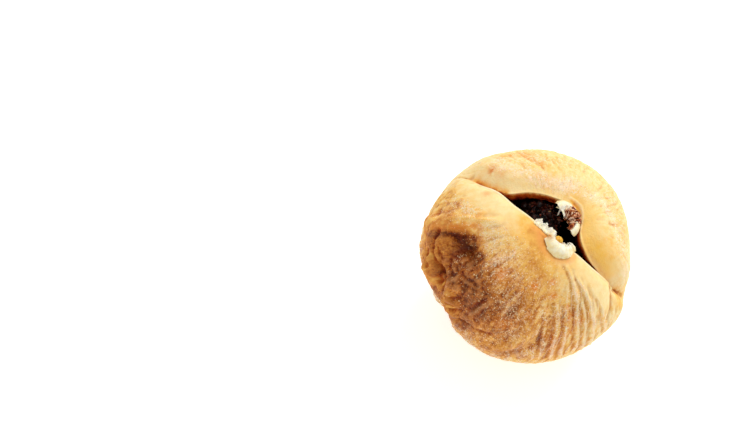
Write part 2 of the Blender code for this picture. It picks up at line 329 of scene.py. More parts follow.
    def stem_relief(self, directions: Array) -> Array:
        """The short neck at the stalk, the pit that holds it, and the puckers around it.

        Args:
            directions: Unit directions.

        Returns:
            What they add to the radius, in millimetres.
        """
        stem = Vector(self.stem)
        sideways = stem.orthogonal().normalized()
        away = degrees_between(directions, self.stem)
        around = np.arctan2(directions @ np.array(stem.cross(sideways)), directions @ np.array(sideways))
        puckers = 0.35 * np.cos(self.puckers * around) * bell(away - 30, 15)
        return 0.7 * bell(away, 28) - 1.5 * bell(away, 9.5) + puckers

    def radius(self, directions: Array) -> Array:
        """How far the skin lies from the fig's centre.

        Args:
            directions: Unit directions.

        Returns:
            Millimetres along each direction.
        """
        x, y, z = directions.T
        along = x / self.half_along
        across = y / np.where(y > 0, self.half_far, self.half_near)
        out = z / np.where(z > 0, self.half_eye, self.half_stem)
        radius = 1 / np.sqrt(along**2 + across**2 + out**2)
        radius = radius + self.lip_relief(turn_of(directions), self.offset_of(directions))
        return radius + total(self.swells + self.folds, directions) + self.stem_relief(directions)


@dataclass(frozen=True)
class Ribs:
    """Fine ridges that run from the eye to the stalk: steep on one side, sloping on the other."""

    pairs: int = 38
    steep: float = 0.26
    slope: float = 1.3
    front_azimuth: float = -34
    front_reach: float = 30
    left_azimuth: float = -100
    left_reach: float = 40
    front_strength: float = 0.7
    left_strength: float = 0.28
    far_strength: float = 0.3
    under_strength: float = 0.55

    def bearing(self, directions: Array) -> Array:
        """The azimuth in radians, with the ridges' wander in it."""
        around = np.arctan2(directions[:, 1], directions[:, 0])
        return around + 0.11 * grain(directions, 0.5, 2, 1) + 0.02 * grain(directions, 0.16, 2, 6)

    def height(self, directions: Array) -> Array:
        """The ridges' profile.

        Args:
            directions: Unit directions.

        Returns:
            0 in a groove to 1 on a crest.
        """
        share = (self.bearing(directions) * self.pairs / math.pi) % 1
        falling = ((1 - share) / (1 - self.steep)) ** self.slope
        return np.where(share < self.steep, smooth(share / self.steep), falling)

    def strength(self, directions: Array, brown: Array, bare: Array, form: FigForm) -> Array:
        """How plain the ridges are.

        Args:
            directions: Unit directions.
            brown: How far each lies in the brown cheek.
            bare: 1 off the smooth bands beside the lips, 0 on them.
            form: The fig's shape.

        Returns:
            A share from 0 to 1 for each direction.
        """
        polar = polar_of(directions)
        azimuth = np.degrees(np.arctan2(directions[:, 1], directions[:, 0]))
        front = bell(azimuth - self.front_azimuth, self.front_reach) * between(polar, 24, 42)
        left = bell(azimuth - self.left_azimuth, self.left_reach)
        left = self.left_strength * left * between(polar, 25, 45)
        far = self.far_strength * (directions[:, 1] > 0) * between(polar, 30, 45)
        under = self.under_strength * between(polar, 85, 105)
        strongest = np.maximum.reduce([self.front_strength * front, left, far, under])
        uneven = np.clip(0.75 + 0.7 * grain(directions, 0.28, 2, 2), 0.15, 1.2)
        past_stalk = between(degrees_between(directions, form.stem), 10, 30)
        return strongest * uneven * (1 - 0.85 * brown) * bare * past_stalk


@dataclass(frozen=True)
class SkinRelief:
    """What is finer than the main shape: ribs from eye to stalk, puckers, creases and lumps.

    Each layer of puckers is a size of lump in millimetres, a height and a seed.
    """

    ribs: tuple[Line, ...] = lines(
        (1.25, 0.23, (24, -54), (29, -47.5), (35, -44), (40, -41.5), (50, -39), (63, -36), (76, -33)),
        (1.25, 0.22, (31, -39), (36, -34.5), (44, -30), (51, -28), (58, -25.5), (70, -24), (84, -20)),
        (1.0, 0.15, (36, -25), (41, -23.5), (45, -21), (53, -18), (59, -17), (75, -12)),
        (1.5, 0.17, (48, -64.5), (57, -59), (68, -56), (80, -53)),
        (1.3, 0.2, (45, -57), (51, -53.5), (62, -50.5), (72, -49), (84, -46)),
        (1.0, 0.19, (46, -49), (54, -46), (66, -43.5), (74, -42.5), (86, -39)),
        (1.0, 0.17, (46, -35), (50, -33.5), (59, -31.5), (72, -29), (84, -26)),
    )
    swales: tuple[Line, ...] = lines(
        (1.0, 0.24, (44, -87), (47.5, -87.5), (54, -87.5), (60.5, -86.5), (67, -84.5), (74, -82)),
        (2.6, -0.15, (50, -82), (56, -82), (62, -81.5), (68, -79), (74, -76)),
        (2.5, 0.26, (50, -66), (53.5, -67.5), (59.5, -68.5), (67.5, -69.5), (75.5, -71), (83, -75)),
        (0.6, 0.08, *FAR_EDGE),
        (1.1, -0.1, (21, 95), (20, 87), (18.5, 77), (16.5, 67), (15, 57)),
        (2.2, -0.13, (64, 139), (54, 139.5), (46, 138.5), (39, 137)),
        (2.4, 0.13, (60, 144), (48, 146), (41, 145), (35, 142)),
        (2.4, 0.09, (56, 132), (47, 131), (40, 128)),
        (1.5, 0.08, (21, 61), (26, 54), (35, 51), (46, 50)),
        (1.4, -0.06, (22, 55), (28, 49), (37, 46), (47, 45)),
        (1.6, 0.07, (30, 70), (38, 68), (48, 68)),
    )
    creases: tuple[Line, ...] = lines(
        (2.3, 0.36, (67, -152), (59, -151.5), (52, -149), (44, -147.5), (38, -147)),
        (2.6, -0.42, (71, -147), (65, -144), (60, -142.5), (55.5, -141)),
        (3.4, -0.5, (67, -142), (65, -138), (61, -134), (56, -130), (52, -124)),
        (2.8, 0.34, (71, -148), (72.5, -143), (73, -138), (75, -134)),
        (1.3, -0.48, (73, -149), (77, -145), (79.5, -142), (82, -138), (82.3, -133), (82.5, -129),
         (82, -125.5)),
        (1.1, 0.3, (76, -144), (79.5, -140.5), (80, -137), (78.4, -134), (77.5, -129.5), (76.5, -125.5)),
        (1.4, -0.65, (80, -132), (82.5, -128), (85.5, -126.5), (89, -124)),
        (1.6, -0.16, (86, -150), (88, -145), (90, -140)),
        (1.6, -0.12, (79, -153), (83, -150), (86, -146)),
        (1.4, -0.22, (84, -141), (86.5, -137), (87, -133)),
        (1.1, -0.26, (72, -131), (74, -127), (73, -123), (70, -121)),
        (1.1, -0.22, (66, -121), (64, -117), (62, -113)),
        (1.0, -0.26, (80, -115), (78.5, -111.5), (75, -109.5)),
        (1.1, -0.28, (84, -117), (86, -112), (85, -107)),
        (1.3, -0.5, (89, -107), (85, -104.5), (82, -103)),
        (1.3, -0.5, (93, -98.5), (88, -96), (84, -94.5)),
        (1.0, 0.26, (80, -112), (81, -108.5), (81.5, -105)),
        (1.1, 0.28, (82.5, -102), (80, -99.5), (77, -97)),
        (1.4, -0.25, (84, -94), (80, -89), (77, -84)),
        (1.1, 0.24, (75, -99), (70, -98.5), (66, -98), (60, -96.5), (55, -95)),
        (1.4, -0.16, (74, -102), (68, -101.5), (61, -99.5)),
        (1.5, -0.15, (62, -56), (67, -56.5), (72, -57.5), (77.5, -60), (84, -64), (88, -69)),
        (1.5, -0.34, (56, 1), (60, 4), (66, 7.5), (71, 9)),
        (1.9, -0.24, (50, 0), (54, -3), (57, -7), (60, -9.5), (65, -12)),
        (3.0, 0.22, (57, -2), (63, 1), (70, 3)),
        (2.4, -0.12, (70, 172), (76, 178), (84, -178)),
    )
    lumps: tuple[Spot, ...] = spots(
        (72, -117, 4.5, 0.38), (69, -119, 2.0, 0.16), (75.5, -119.5, 2.0, 0.22), (71, -114, 2.0, 0.16),
        (79, -115, 2.2, 0.36), (82.5, -112, 2.0, 0.34), (80, -107, 2.0, 0.2), (86, -100, 2.0, 0.34),
        (90, -103, 2.4, 0.34), (93, -109, 2.4, 0.3), (89, -115, 2.6, 0.34), (91, -120, 2.2, 0.3),
        (77, -131, 2.0, 0.24), (85, -137, 1.9, 0.26), (87, -130, 2.2, 0.28), (82, -146, 2.0, 0.26),
        (88, -141.5, 2.0, 0.24), (92, -134, 2.6, 0.3), (80, -156, 2.4, 0.2), (75, -160, 2.6, -0.18),
        (64, -128, 2.4, 0.16), (60, -122, 2.2, 0.18), (89, -95, 1.8, -0.4),
    )
    wander: Ribs = Ribs()
    brown_pole: tuple[float, float] = (80, -122)
    flat_pole: tuple[float, float] = (70, -105)
    brown_inner: float = 22
    brown_outer: float = 36
    groove_shift: float = -2.2
    groove_reach: float = 1.2
    groove_depth: float = 0.7
    ridge_height: float = 0.14
    fibre_height: float = 0.06
    pore_height: float = 0.03
    pucker_layers: tuple[tuple[float, float, int], ...] = ((2.4, 0.32, 4), (1.1, 0.22, 13), (0.62, 0.13, 15))
    pucker_floor: float = 0.28
    net_depth: float = 0.12

    def brown(self, directions: Array) -> Array:
        """How far each direction lies in the brown, puckered cheek, from 0 to 1."""
        away = degrees_between(directions, from_poles(*self.brown_pole))
        return 1 - between(away + 3 * grain(directions, 0.3, 2, 7), self.brown_inner, self.brown_outer)

    def groove(self, rib: Line, reach: float, strength: float) -> Line:
        """The narrow groove along a rib's side away from the mouth's end, with its reach and strength."""
        path = tuple((polar, azimuth + self.groove_shift) for polar, azimuth in rib.path)
        return Line(path, reach, strength)

    def height(self, directions: Array, form: FigForm) -> Array:
        """The fine shape that lies on the main one.

        Args:
            directions: Unit directions.
            form: The fig's shape.

        Returns:
            Millimetres that it adds along each direction.
        """
        x, y = directions.T[:2]
        places = directions * form.mean_radius
        polar = polar_of(directions)
        brown = self.brown(directions)
        bare = 1 - Bands().share(directions, form)
        ridges = self.ridge_height * (self.wander.height(directions) - 0.45)
        ridges = ridges * self.wander.strength(directions, brown, bare, form)
        hoop = np.maximum(0.05, np.hypot(x, y))
        streaks = np.stack([x / hoop, y / hoop, polar / 200], -1)
        fibres = self.fibre_height * grain(streaks, 0.055, 2, 3) * between(polar, 14, 30)
        limb = bell(np.degrees(np.arctan2(y, x)) + 168, 24) * bell(polar - 78, 22)
        lumpy = np.maximum(brown, 0.6 * limb)
        puckers = lumpy * sum(
            height * (np.abs(grain(places, size, 1, seed)) - self.pucker_floor)
            for size, height, seed in self.pucker_layers
        )
        puckers -= lumpy * self.net_depth * bell(np.abs(grain(places, 1.5, 2, 17)), 0.08)
        flat = 1 - between(degrees_between(directions, from_poles(*self.flat_pole)), 3, 11)
        pores = self.pore_height * grain(places, 0.5, 2, 5)
        grooves = tuple(
            self.groove(rib, self.groove_reach, -self.groove_depth * rib.strength) for rib in self.ribs
        )
        wobble = np.column_stack([grain(directions, 0.11, 2, seed) for seed in (21, 22, 23)])
        wobbling = directions + (0.004 + 0.008 * lumpy)[:, None] * wobble
        wobbling /= np.linalg.norm(wobbling, axis=1, keepdims=True)
        return (
            (total(self.ribs + grooves, directions) + fibres) * bare
            + ridges
            + total(self.swales + self.creases + self.lumps, wobbling)
            + puckers * (1 - 0.9 * flat)
            + pores * (0.25 + 0.75 * bare)
        )


@dataclass(frozen=True)
class Bands:
    """The smooth bands of skin beside the lips, where no rib or bloom reaches.

    Each row is a turn, with the offset at which that lobe's band ends.
    """

    near: tuple[tuple[float, float], ...] = (
        (-80, -1.2), (-69, -1.6), (-56, -2.7), (-47, -3.35), (-34, -4.25), (-10, -4.5), (8, -4.5),
        (15, -3.4), (39, -3.5), (60, -2.4), (72, -1.0),
    )
    far: tuple[tuple[float, float], ...] = (
        (-80, 3.0), (-64, 2.4), (-42, 2.3), (-26, 3.0), (-11, 4.1), (-3, 5.6), (5, 5.2), (13, 3.2),
        (28, 2.5), (46, 1.8), (70, 1.6),
    )

    outer: float = -0.9
    inner: float = 0.5

    def share(self, directions: Array, form: FigForm) -> Array:
        """How far each direction lies in a band.

        Args:
            directions: Unit directions.
            form: The fig's shape.

        Returns:
            A share from 0 to 1 for each direction.
        """
        turn = turn_of(directions)
        offset = form.offset_of(directions)
        near = between(offset - np.interp(turn, *np.array(self.near).T), self.outer, self.inner)
        far = between(np.interp(turn, *np.array(self.far).T) - offset, self.outer, self.inner)
        return near * far * form.split_strength(turn)


# ---- working with meshes


def deselect() -> None:
    """Clears the selection, which an operator would act on."""
    bpy.ops.object.select_all(action="DESELECT")


def pick(obj: Object) -> None:
    """Makes one object the selected and active one.

    Args:
        obj: The object.
    """
    deselect()
    obj.select_set(True)
    bpy.context.view_layer.objects.active = obj


def new_grid(columns: int, rows: int) -> Object:
    """A flat grid from -1 to 1 both ways, of so many columns and rows of faces."""
    bpy.ops.mesh.primitive_grid_add(x_subdivisions=columns, y_subdivisions=rows, size=2)
    return bpy.context.object


def new_ball(segments: int, rings: int) -> Object:
    """A ball of radius 1, of so many faces round it and from pole to pole."""
    bpy.ops.mesh.primitive_uv_sphere_add(segments=segments, ring_count=rings, radius=1)
    return bpy.context.object


def vertices_of(mesh: Mesh) -> Array:
    """Where a mesh's vertices are.

    Args:
        mesh: The mesh.

    Returns:
        Rows of x, y and z.
    """
    places = np.empty(len(mesh.vertices) * 3)
    mesh.vertices.foreach_get("co", places)
    return places.reshape(-1, 3)


def corners_of(items: Any, each: int) -> Array:
    """The vertex numbers of a mesh's edges, polygons or triangles.

    Args:
        items: The mesh's edges, polygons or loop triangles.
        each: How many corners each of them has.

    Returns:
        A row of vertex numbers for each of them.
    """
    numbers = np.empty(len(items) * each, int)
    items.foreach_get("vertices", numbers)
    return numbers.reshape(-1, each)


def move_vertices(mesh: Mesh, places: Array) -> None:
    """Puts the mesh's vertices at the rows of places."""
    mesh.vertices.foreach_set("co", np.ascontiguousarray(places, float).ravel())
    mesh.update()


def paint(mesh: Mesh, **layers: Array) -> None:
    """Keeps numbers for each vertex, under names that a material can read.

    Args:
        mesh: The mesh.
        layers: Each name with its numbers.
    """
    for name, values in layers.items():
        layer = mesh.attributes.get(name) or mesh.attributes.new(name, "FLOAT", "POINT")
        layer.data.foreach_set("value", np.asarray(values, np.float32))


def read(mesh: Mesh, name: str) -> Array:
    """The numbers that paint() kept.

    Args:
        mesh: The mesh.
        name: The name that they are kept under.

    Returns:
        A number for each vertex.
    """
    values = np.empty(len(mesh.vertices), np.float32)
    mesh.attributes[name].data.foreach_get("value", values)
    return values.astype(float)


def in_edit_mode(obj: Object, work: Callable[[], Any]) -> None:
    """Runs work in edit mode, on what is selected there.

    Args:
        obj: The object to edit.
        work: A function that calls the operators.
    """
    pick(obj)
    bpy.ops.object.mode_set(mode="EDIT")
    work()
    bpy.ops.object.mode_set(mode="OBJECT")


def face_outwards() -> None:
    """Turns every face of the mesh in edit mode outwards."""
    bpy.ops.mesh.select_all(action="SELECT")
    bpy.ops.mesh.normals_make_consistent(inside=False)


def finish_piece(
    obj: Object,
    name: str,
    look: Material,
    nodes: Sequence[str] = (),
) -> Object:
    """Names a piece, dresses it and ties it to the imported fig.

    Args:
        obj: The finished mesh, in the row frame, with its object at the origin.
        name: The piece's name.
        look: Its material.
        nodes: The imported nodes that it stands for.

    Returns:
        The same object.
    """
    obj.name = name
    obj.data.name = name
    obj.data.materials.clear()
    obj.data.materials.append(look)
    pick(obj)
    bpy.ops.object.shade_smooth()
    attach(obj, "root")
    if nodes:
        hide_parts(*nodes)
    log.info("%-22s %7d faces", name, len(obj.data.polygons))
    return obj


def mesh_object(name: str, places: Array, faces: Array) -> Object:
    """Makes an object from its vertices and faces.

    Args:
        name: Its name.
        places: Rows of x, y and z, in metres.
        faces: Rows of vertex numbers.

    Returns:
        The object, linked to the scene.
    """
    mesh = bpy.data.meshes.new(name)
    mesh.from_pydata(places.tolist(), [], faces.tolist())
    made = bpy.data.objects.new(name, mesh)
    bpy.context.scene.collection.objects.link(made)
    return made


# ---- materials


def linear(shade: str) -> tuple[float, float, float, float]:
    """Turns a colour into the numbers that a shader takes.

    Args:
        shade: Six hexadecimal digits.

    Returns:
        Linear red, green and blue, with full alpha.
    """
    parts = [int(shade[at : at + 2], 16) / 255 for at in (0, 2, 4)]
    r, g, b = (p / 12.92 if p < 0.04045 else ((p + 0.055) / 1.055) ** 2.4 for p in parts)
    return r, g, b, 1.0


class Wiring:
    """Adds shader nodes to one new material and wires them together."""

    def __init__(self, name: str) -> None:
        """Starts a material with its Principled shader.

        Args:
            name: The material's name.
        """
        self.material = bpy.data.materials.new(name)
        self.material.use_nodes = True
        self.tree = self.material.node_tree
        self.shader = self.tree.nodes["Principled BSDF"]
        self.places: Any = None

    def put(self, socket: NodeSocket, value: Any) -> None:
        """Links a value to a socket where it is a socket itself, and sets it there otherwise.

        Args:
            socket: The input socket.
            value: An output socket, or a constant.
        """
        if isinstance(value, NodeSocket):
            self.tree.links.new(value, socket)
        else:
            socket.default_value = value

    def add(self, kind: str, sockets: dict[Any, Any] | None = None, **settings: Any) -> Node:
        """Adds a node.

        Args:
            kind: The node's type.
            sockets: What goes into its input sockets, by name or number.
            settings: Its own settings.

        Returns:
            The node.
        """
        node = self.tree.nodes.new(kind)
        for name, value in settings.items():
            setattr(node, name, value)
        for name, value in (sockets or {}).items():
            self.put(node.inputs[name], value)
        return node

    def millimetres(self) -> NodeSocket:
        """Object coordinates in millimetres, from one pair of nodes for the whole material.

        Returns:
            The socket of the coordinates.
        """
        if self.places is None:
            source = self.add("ShaderNodeTexCoord").outputs["Object"]
            scaled = self.add("ShaderNodeMapping", {"Vector": source, "Scale": (1000, 1000, 1000)})
            self.places = scaled.outputs["Vector"]
        return self.places

    def noise(self, per_mm: float, detail: float = 2, at: Any = None, **sockets: Any) -> NodeSocket:
        """Noise with so many lumps to a millimetre, or to a unit of another vector."""
        given = {"Vector": at or self.millimetres(), "Scale": per_mm, "Detail": detail, **sockets}
        return self.add("ShaderNodeTexNoise", given).outputs[0]

    def attribute(self, name: str) -> NodeSocket:
        """A number that the mesh keeps for each vertex."""
        return self.add("ShaderNodeAttribute", attribute_name=name).outputs["Fac"]

    def math(self, operation: str, *values: Any) -> NodeSocket:
        """One sum, product or other operation on numbers."""
        return self.add("ShaderNodeMath", dict(enumerate(values)), operation=operation).outputs[0]

    def times(self, *values: Any) -> NodeSocket:
        """The product of numbers."""
        return reduce(partial(self.math, "MULTIPLY"), values)

    def plus(self, first: Any, second: Any) -> NodeSocket:
        """The sum of two numbers."""
        return self.math("ADD", first, second)

    def times_plus(self, first: Any, second: Any, third: Any) -> NodeSocket:
        """The product of two numbers, plus a third."""
        return self.math("MULTIPLY_ADD", first, second, third)

    def minus(self, first: Any, second: Any) -> NodeSocket:
        """One number less another."""
        return self.math("SUBTRACT", first, second)

    def apart(self, first: Any, second: Any) -> NodeSocket:
        """How far two numbers lie apart."""
        return self.math("ABSOLUTE", self.minus(first, second))

    def larger(self, first: Any, second: Any) -> NodeSocket:
        """The larger of two numbers."""
        return self.math("MAXIMUM", first, second)

    def rescale(
        self, value: Any, low: float, high: float, to_low: float = 0, to_high: float = 1
    ) -> NodeSocket:
        """A value taken evenly from low..high to to_low..to_high, and held there outside."""
        given = {"Value": value, "From Min": low, "From Max": high, "To Min": to_low, "To Max": to_high}
        return self.add("ShaderNodeMapRange", given, interpolation_type="SMOOTHSTEP").outputs["Result"]

    def blend(self, share: Any, first: Any, second: Any, way: str = "MIX") -> NodeSocket:
        """Two colours mixed by a share."""
        given = {0: share, 6: first, 7: second}
        return self.add("ShaderNodeMix", given, data_type="RGBA", blend_type=way).outputs[2]

    def ramp(self, share: Any, *stops: tuple[float, str]) -> NodeSocket:
        """A colour that runs through stops.

        Args:
            share: Where on the ramp, from 0 to 1.
            stops: Shares, each with its colour as six hexadecimal digits.

        Returns:
            The colour.
        """
        node = self.add("ShaderNodeValToRGB", {"Fac": share})
        elements = node.color_ramp.elements
        while len(elements) < len(stops):
            elements.new(0.5)
        for element, (place, shade) in zip(elements, stops):
            element.position = place
            element.color = linear(shade)
        return node.outputs["Color"]

    def bump(self, height: Any, distance_mm: float, strength: float = 1.0) -> None:
        """Raises the surface's shading by height times a distance."""
        given = {"Height": height, "Distance": distance_mm * MM, "Strength": strength}
        self.put(self.shader.inputs["Normal"], self.add("ShaderNodeBump", given).outputs["Normal"])

    def surface(self, **sockets: Any) -> Material:
        """Sets the shader's sockets.

        Args:
            sockets: What goes into them, each named with _ for a space.

        Returns:
            The material.
        """
        for name, value in sockets.items():
            self.put(self.shader.inputs[name.replace("_", " ")], value)
        return self.material


@dataclass(frozen=True)
class SkinFinish:
    """Dry golden skin with sugar bloom, amber and brown patches, and the flesh inside the mouth, with painted
    shade in its creases, grooves and wrinkles and deep in the mouth, painted highlights on crests and
    painted light along the lips.
    """

    pale: str = "F0DAA2"
    golden: str = "ECB85C"
    orange: str = "CE8434"
    brown: str = "A85C1E"
    dark: str = "6C340C"
    amber: str = "DE802A"
    halo: str = "E6A055"
    # Painted glow: a bright saturated yellow that lightens the shaded band beside the far lip.
    honey: str = "FFC648"
    # Painted highlight: a light tan laid on the convex crests of the dark, puckered skin.
    worn: str = "C88850"
    cream: str = "F3D5A2"
    bloom: str = "FEE6C8"
    crust: str = "FEE9CC"
    russet: str = "8A3C1C"
    # The pale edge: painted light on the near lip, the paper's own torn edge on the far lobe.
    rim: str = "FBE8C2"
    # Painted shade: the tint that darkens the skin in its creases.
    hollow: str = "C07C34"
    # The flesh by depth: amber at the lips, darkening to near black deeper down, partly the flesh's own colour
    # and partly painted shade of the hollow.
    flesh: Stops = (
        (0.0, "F0B45C"),
        (0.05, "DC7820"),
        (0.19, "C04A12"),
        (0.3, "7A220A"),
        (0.42, "240804"),
        (0.8, "0C0303"),
    )
    rib_pairs: int = Ribs.pairs
    groove_at: float = 0.02
    crest_at: float = 0.17
    mist: float = 0.6
    translucence: float = 0.14

    def ridge_share(self, w: Wiring) -> NodeSocket:
        """Where each place lies between two ribs' grooves.

        Args:
            w: The material's wiring.

        Returns:
            0 at one rib's groove to 1 at the next.
        """
        swirl = w.add("ShaderNodeAttribute", attribute_name="swirl").outputs["Vector"]
        parts = w.add("ShaderNodeSeparateXYZ", {0: swirl})
        bearing = w.math("ARCTAN2", parts.outputs[1], parts.outputs[0])
        return w.math("FRACT", w.times_plus(bearing, self.rib_pairs / math.pi, 2.0 * self.rib_pairs))

    def build(self) -> Material:
        """Makes the material.

        Returns:
            The material.
        """
        w = Wiring("fig_skin")
        growth = w.add("ShaderNodeAttribute", attribute_name="growth").outputs["Vector"]
        patches = w.noise(0.35, 3, Roughness=0.55)
        mottle = w.noise(1.3, 4, Roughness=0.6)
        fine = w.noise(5.0, 2, Roughness=0.5)
        streaks = w.noise(1.3, 3, growth, Roughness=0.6)
        dashes = w.noise(3.2, 3, growth, Roughness=0.65)
        share = self.ridge_share(w)
        rib = w.attribute("rib")
        tone = w.attribute("tone")
        uneven = w.rescale(tone, 0.0, 0.35, 0.4, 1.0)
        tone = w.times_plus(w.rescale(patches, 0.3, 0.7, -0.09, 0.09), uneven, tone)
        tone = w.times_plus(w.rescale(mottle, 0.3, 0.7, -0.08, 0.08), uneven, tone)
        near = w.rescale(w.attribute("gritty"), 0.35, 1.0)
        gritty = w.times(w.attribute("frost"), w.rescale(near, 0, 1, 0.25, 1.0))
        gritty = w.larger(gritty, w.rescale(tone, 0.4, 0.7, 0.0, 0.8))
        tone = w.times_plus(w.rescale(fine, 0.35, 0.65, -0.13, 0.13), gritty, tone)
        tone = w.times_plus(w.rescale(streaks, 0.3, 0.7, -0.14, 0.14), w.attribute("streak"), tone)
        # Painted shade: the skin is darkened along the ribs' grooves.
        groove = w.times(rib, w.rescale(w.apart(share, self.groove_at), 0.1, 0.0))
        tone = w.times_plus(groove, 0.12, tone)
        # Painted shade: where the skin is already dark, it is darkened along the thin wrinkle lines that the
        # bump also traces.
        wrinkle = w.apart(w.noise(1.2, 1, Roughness=0.5, Distortion=0.5), 0.5)
        wrinkle_shade = w.times(w.rescale(wrinkle, 0.035, 0.0), w.rescale(tone, 0.4, 0.7, 0.0, 0.22))
        tone = w.plus(tone, wrinkle_shade)
        shades = (self.pale, self.golden, self.orange, self.brown, self.dark)
        skin = w.ramp(tone, *zip((0.0, 0.25, 0.5, 0.75, 1.0), shades))
        amber = w.times(w.attribute("amber"), w.rescale(mottle, 0.32, 0.5))
        skin = w.blend(amber, skin, linear(self.amber))
        russet = w.times(w.attribute("russet"), w.rescale(mottle, 0.3, 0.6))
        skin = w.blend(russet, skin, linear(self.russet))
        # Of these layers, halo is the paper's tan mark; the other two are painted light: a bright glow by the
        # far lip and a highlight on the dark skin's crests.
        for name in ("halo", "honey", "worn"):
            skin = w.blend(w.attribute(name), skin, linear(getattr(self, name)))
        # Painted shade: the skin is darkened in its creases, more so off the ribs.
        skin = w.blend(w.attribute("crease"), skin, w.blend(1.0, skin, linear(self.hollow), "MULTIPLY"))
        skin = self.dust(w, skin, share, rib, fine, dashes, patches, near)
        # Partly painted shade: the flesh darkens with depth below the lips.
        depth = w.plus(w.attribute("depth"), w.rescale(mottle, 0.3, 0.7, -0.12, 0.12))
        flesh = w.ramp(depth, *self.flesh)
        inside = w.attribute("flesh")
        # The near lip's thin edge is painted light, as if lit from behind; on the far lobe this is the paper's
        # pale torn edge.
        skin = w.blend(w.attribute("rim"), skin, linear(self.rim))
        colour = w.blend(inside, skin, flesh)
        dry = w.rescale(fine, 0.3, 0.7, 0.55, 0.75)
        rough = w.minus(dry, w.times(inside, 0.28))
        rough = w.minus(rough, w.rescale(tone, 0.45, 0.85, 0.0, 0.2))
        height = w.plus(w.times(mottle, 0.5), w.times(fine, 0.4))
        height = w.times_plus(wrinkle, w.rescale(tone, 0.4, 0.8, 0.0, 4.0), height)
        height = w.times_plus(groove, -0.35, height)
        w.bump(height, 0.16, 0.8)
        return w.surface(
            Base_Color=colour,
            Roughness=rough,
            Specular_IOR_Level=0.12,
            Subsurface_Weight=self.translucence,
            Subsurface_Radius=(1.0, 0.45, 0.15),
            Subsurface_Scale=1.1 * MM,
        )

    def grains(self, w: Wiring, per_mm: float, thick: Any) -> Any:
        """Ragged grains in a share of the cells of a honeycomb, more of them where the bloom is thick.

        Args:
            w: The material's wiring.
            per_mm: How many cells there are to a millimetre.
            thick: How thick the bloom is.

        Returns:
            How white the grains are, 0 between them.
        """
        shifts = w.add("ShaderNodeTexNoise", {"Vector": w.millimetres(), "Scale": 1.4 * per_mm, "Detail": 1})
        wide = (1.1 / per_mm,) * 3
        given = {0: shifts.outputs[1], 1: wide, 2: w.millimetres()}
        shifted = w.add("ShaderNodeVectorMath", given, operation="MULTIPLY_ADD")
        cells = w.add("ShaderNodeTexVoronoi", {"Vector": shifted.outputs[0], "Scale": per_mm})
        chance = w.add("ShaderNodeSeparateColor", {0: cells.outputs["Color"]})
        there = w.math("LESS_THAN", chance.outputs[0], w.times(thick, 0.88))
        round_it = w.rescale(cells.outputs["Distance"], 0.55, 0.34)
        return w.times(there, round_it, w.rescale(chance.outputs[1], 0, 1, 0.35, 0.9))

    def dust(
        self, w: Wiring, skin: Any, share: Any, rib: Any, fine: Any, dashes: Any, patches: Any, near: Any
    ) -> Any:
        """Adds the sugar's bloom to the skin's colour.

        Args:
            w: The material's wiring.
            skin: The bare skin's colour.
            share: Where a place lies between two ribs' grooves.
            rib: How plain the ribs are.
            fine: Noise of the finest grains.
            dashes: Noise that is drawn out along the ribs.
            patches: Noise of broad patches.
            near: 1 on the near lobe, whose bloom is fine, and 0 on the far one, whose bloom is clotted.

        Returns:
            The dusted skin's colour.
        """
        bloom = w.attribute("bloom")
        mist = w.times_plus(dashes, 0.5, w.times(patches, 0.5))
        mist = w.times(w.rescale(mist, 0.42, 0.58, 0.15, 1.1), bloom)
        mist = w.times(mist, w.minus(1.0, w.attribute("crease")))
        mist = w.times(mist, w.rescale(w.noise(2.4, 3, Roughness=0.7), 0.4, 0.6, 0.45, 1.25))
        skin = w.blend(w.times(mist, self.mist), skin, linear(self.bloom))
        thick = w.times(w.attribute("frost"), w.rescale(dashes, 0.36, 0.6, 0.35, 1.0))
        thick = w.times(thick, w.rescale(w.noise(1.6, 2, Roughness=0.6), 0.4, 0.6, 0.35, 1.25))
        specks = w.larger(self.grains(w, 5.8, thick), self.grains(w, 9.5, thick))
        clots = self.grains(w, 3.2, w.times(thick, w.rescale(near, 0, 1, 0.75, 0.2)))
        specks = w.larger(specks, clots)
        shade = w.blend(w.rescale(bloom, 0.1, 0.7), linear(self.cream), linear(self.bloom))
        skin = w.blend(specks, skin, shade)
        crest = w.rescale(w.apart(share, self.crest_at), 0.16, 0.04)
        broken = w.rescale(w.plus(dashes, w.times(patches, 0.6)), 0.7, 0.86)
        line = w.times(crest, rib, broken)
        away = w.times_plus(w.minus(fine, 0.5), 1.2, w.attribute("ridge"))
        thin = w.rescale(w.math("ABSOLUTE", away), 0.68, 0.2)
        thread = w.times(w.attribute("thread"), thin, w.rescale(dashes, 0.4, 0.56))
        thread = w.times(thread, w.rescale(fine, 0.36, 0.54, 0.4, 1.0))
        thread = w.times(thread, w.rescale(patches, 0.38, 0.56, 0.4, 1.0))
        crust = w.rescale(w.noise(11.0, 1), 0.42, 0.56, 0.3, 1.0)
        white = w.times(w.larger(line, thread), crust)
        return w.blend(white, skin, linear(self.crust))


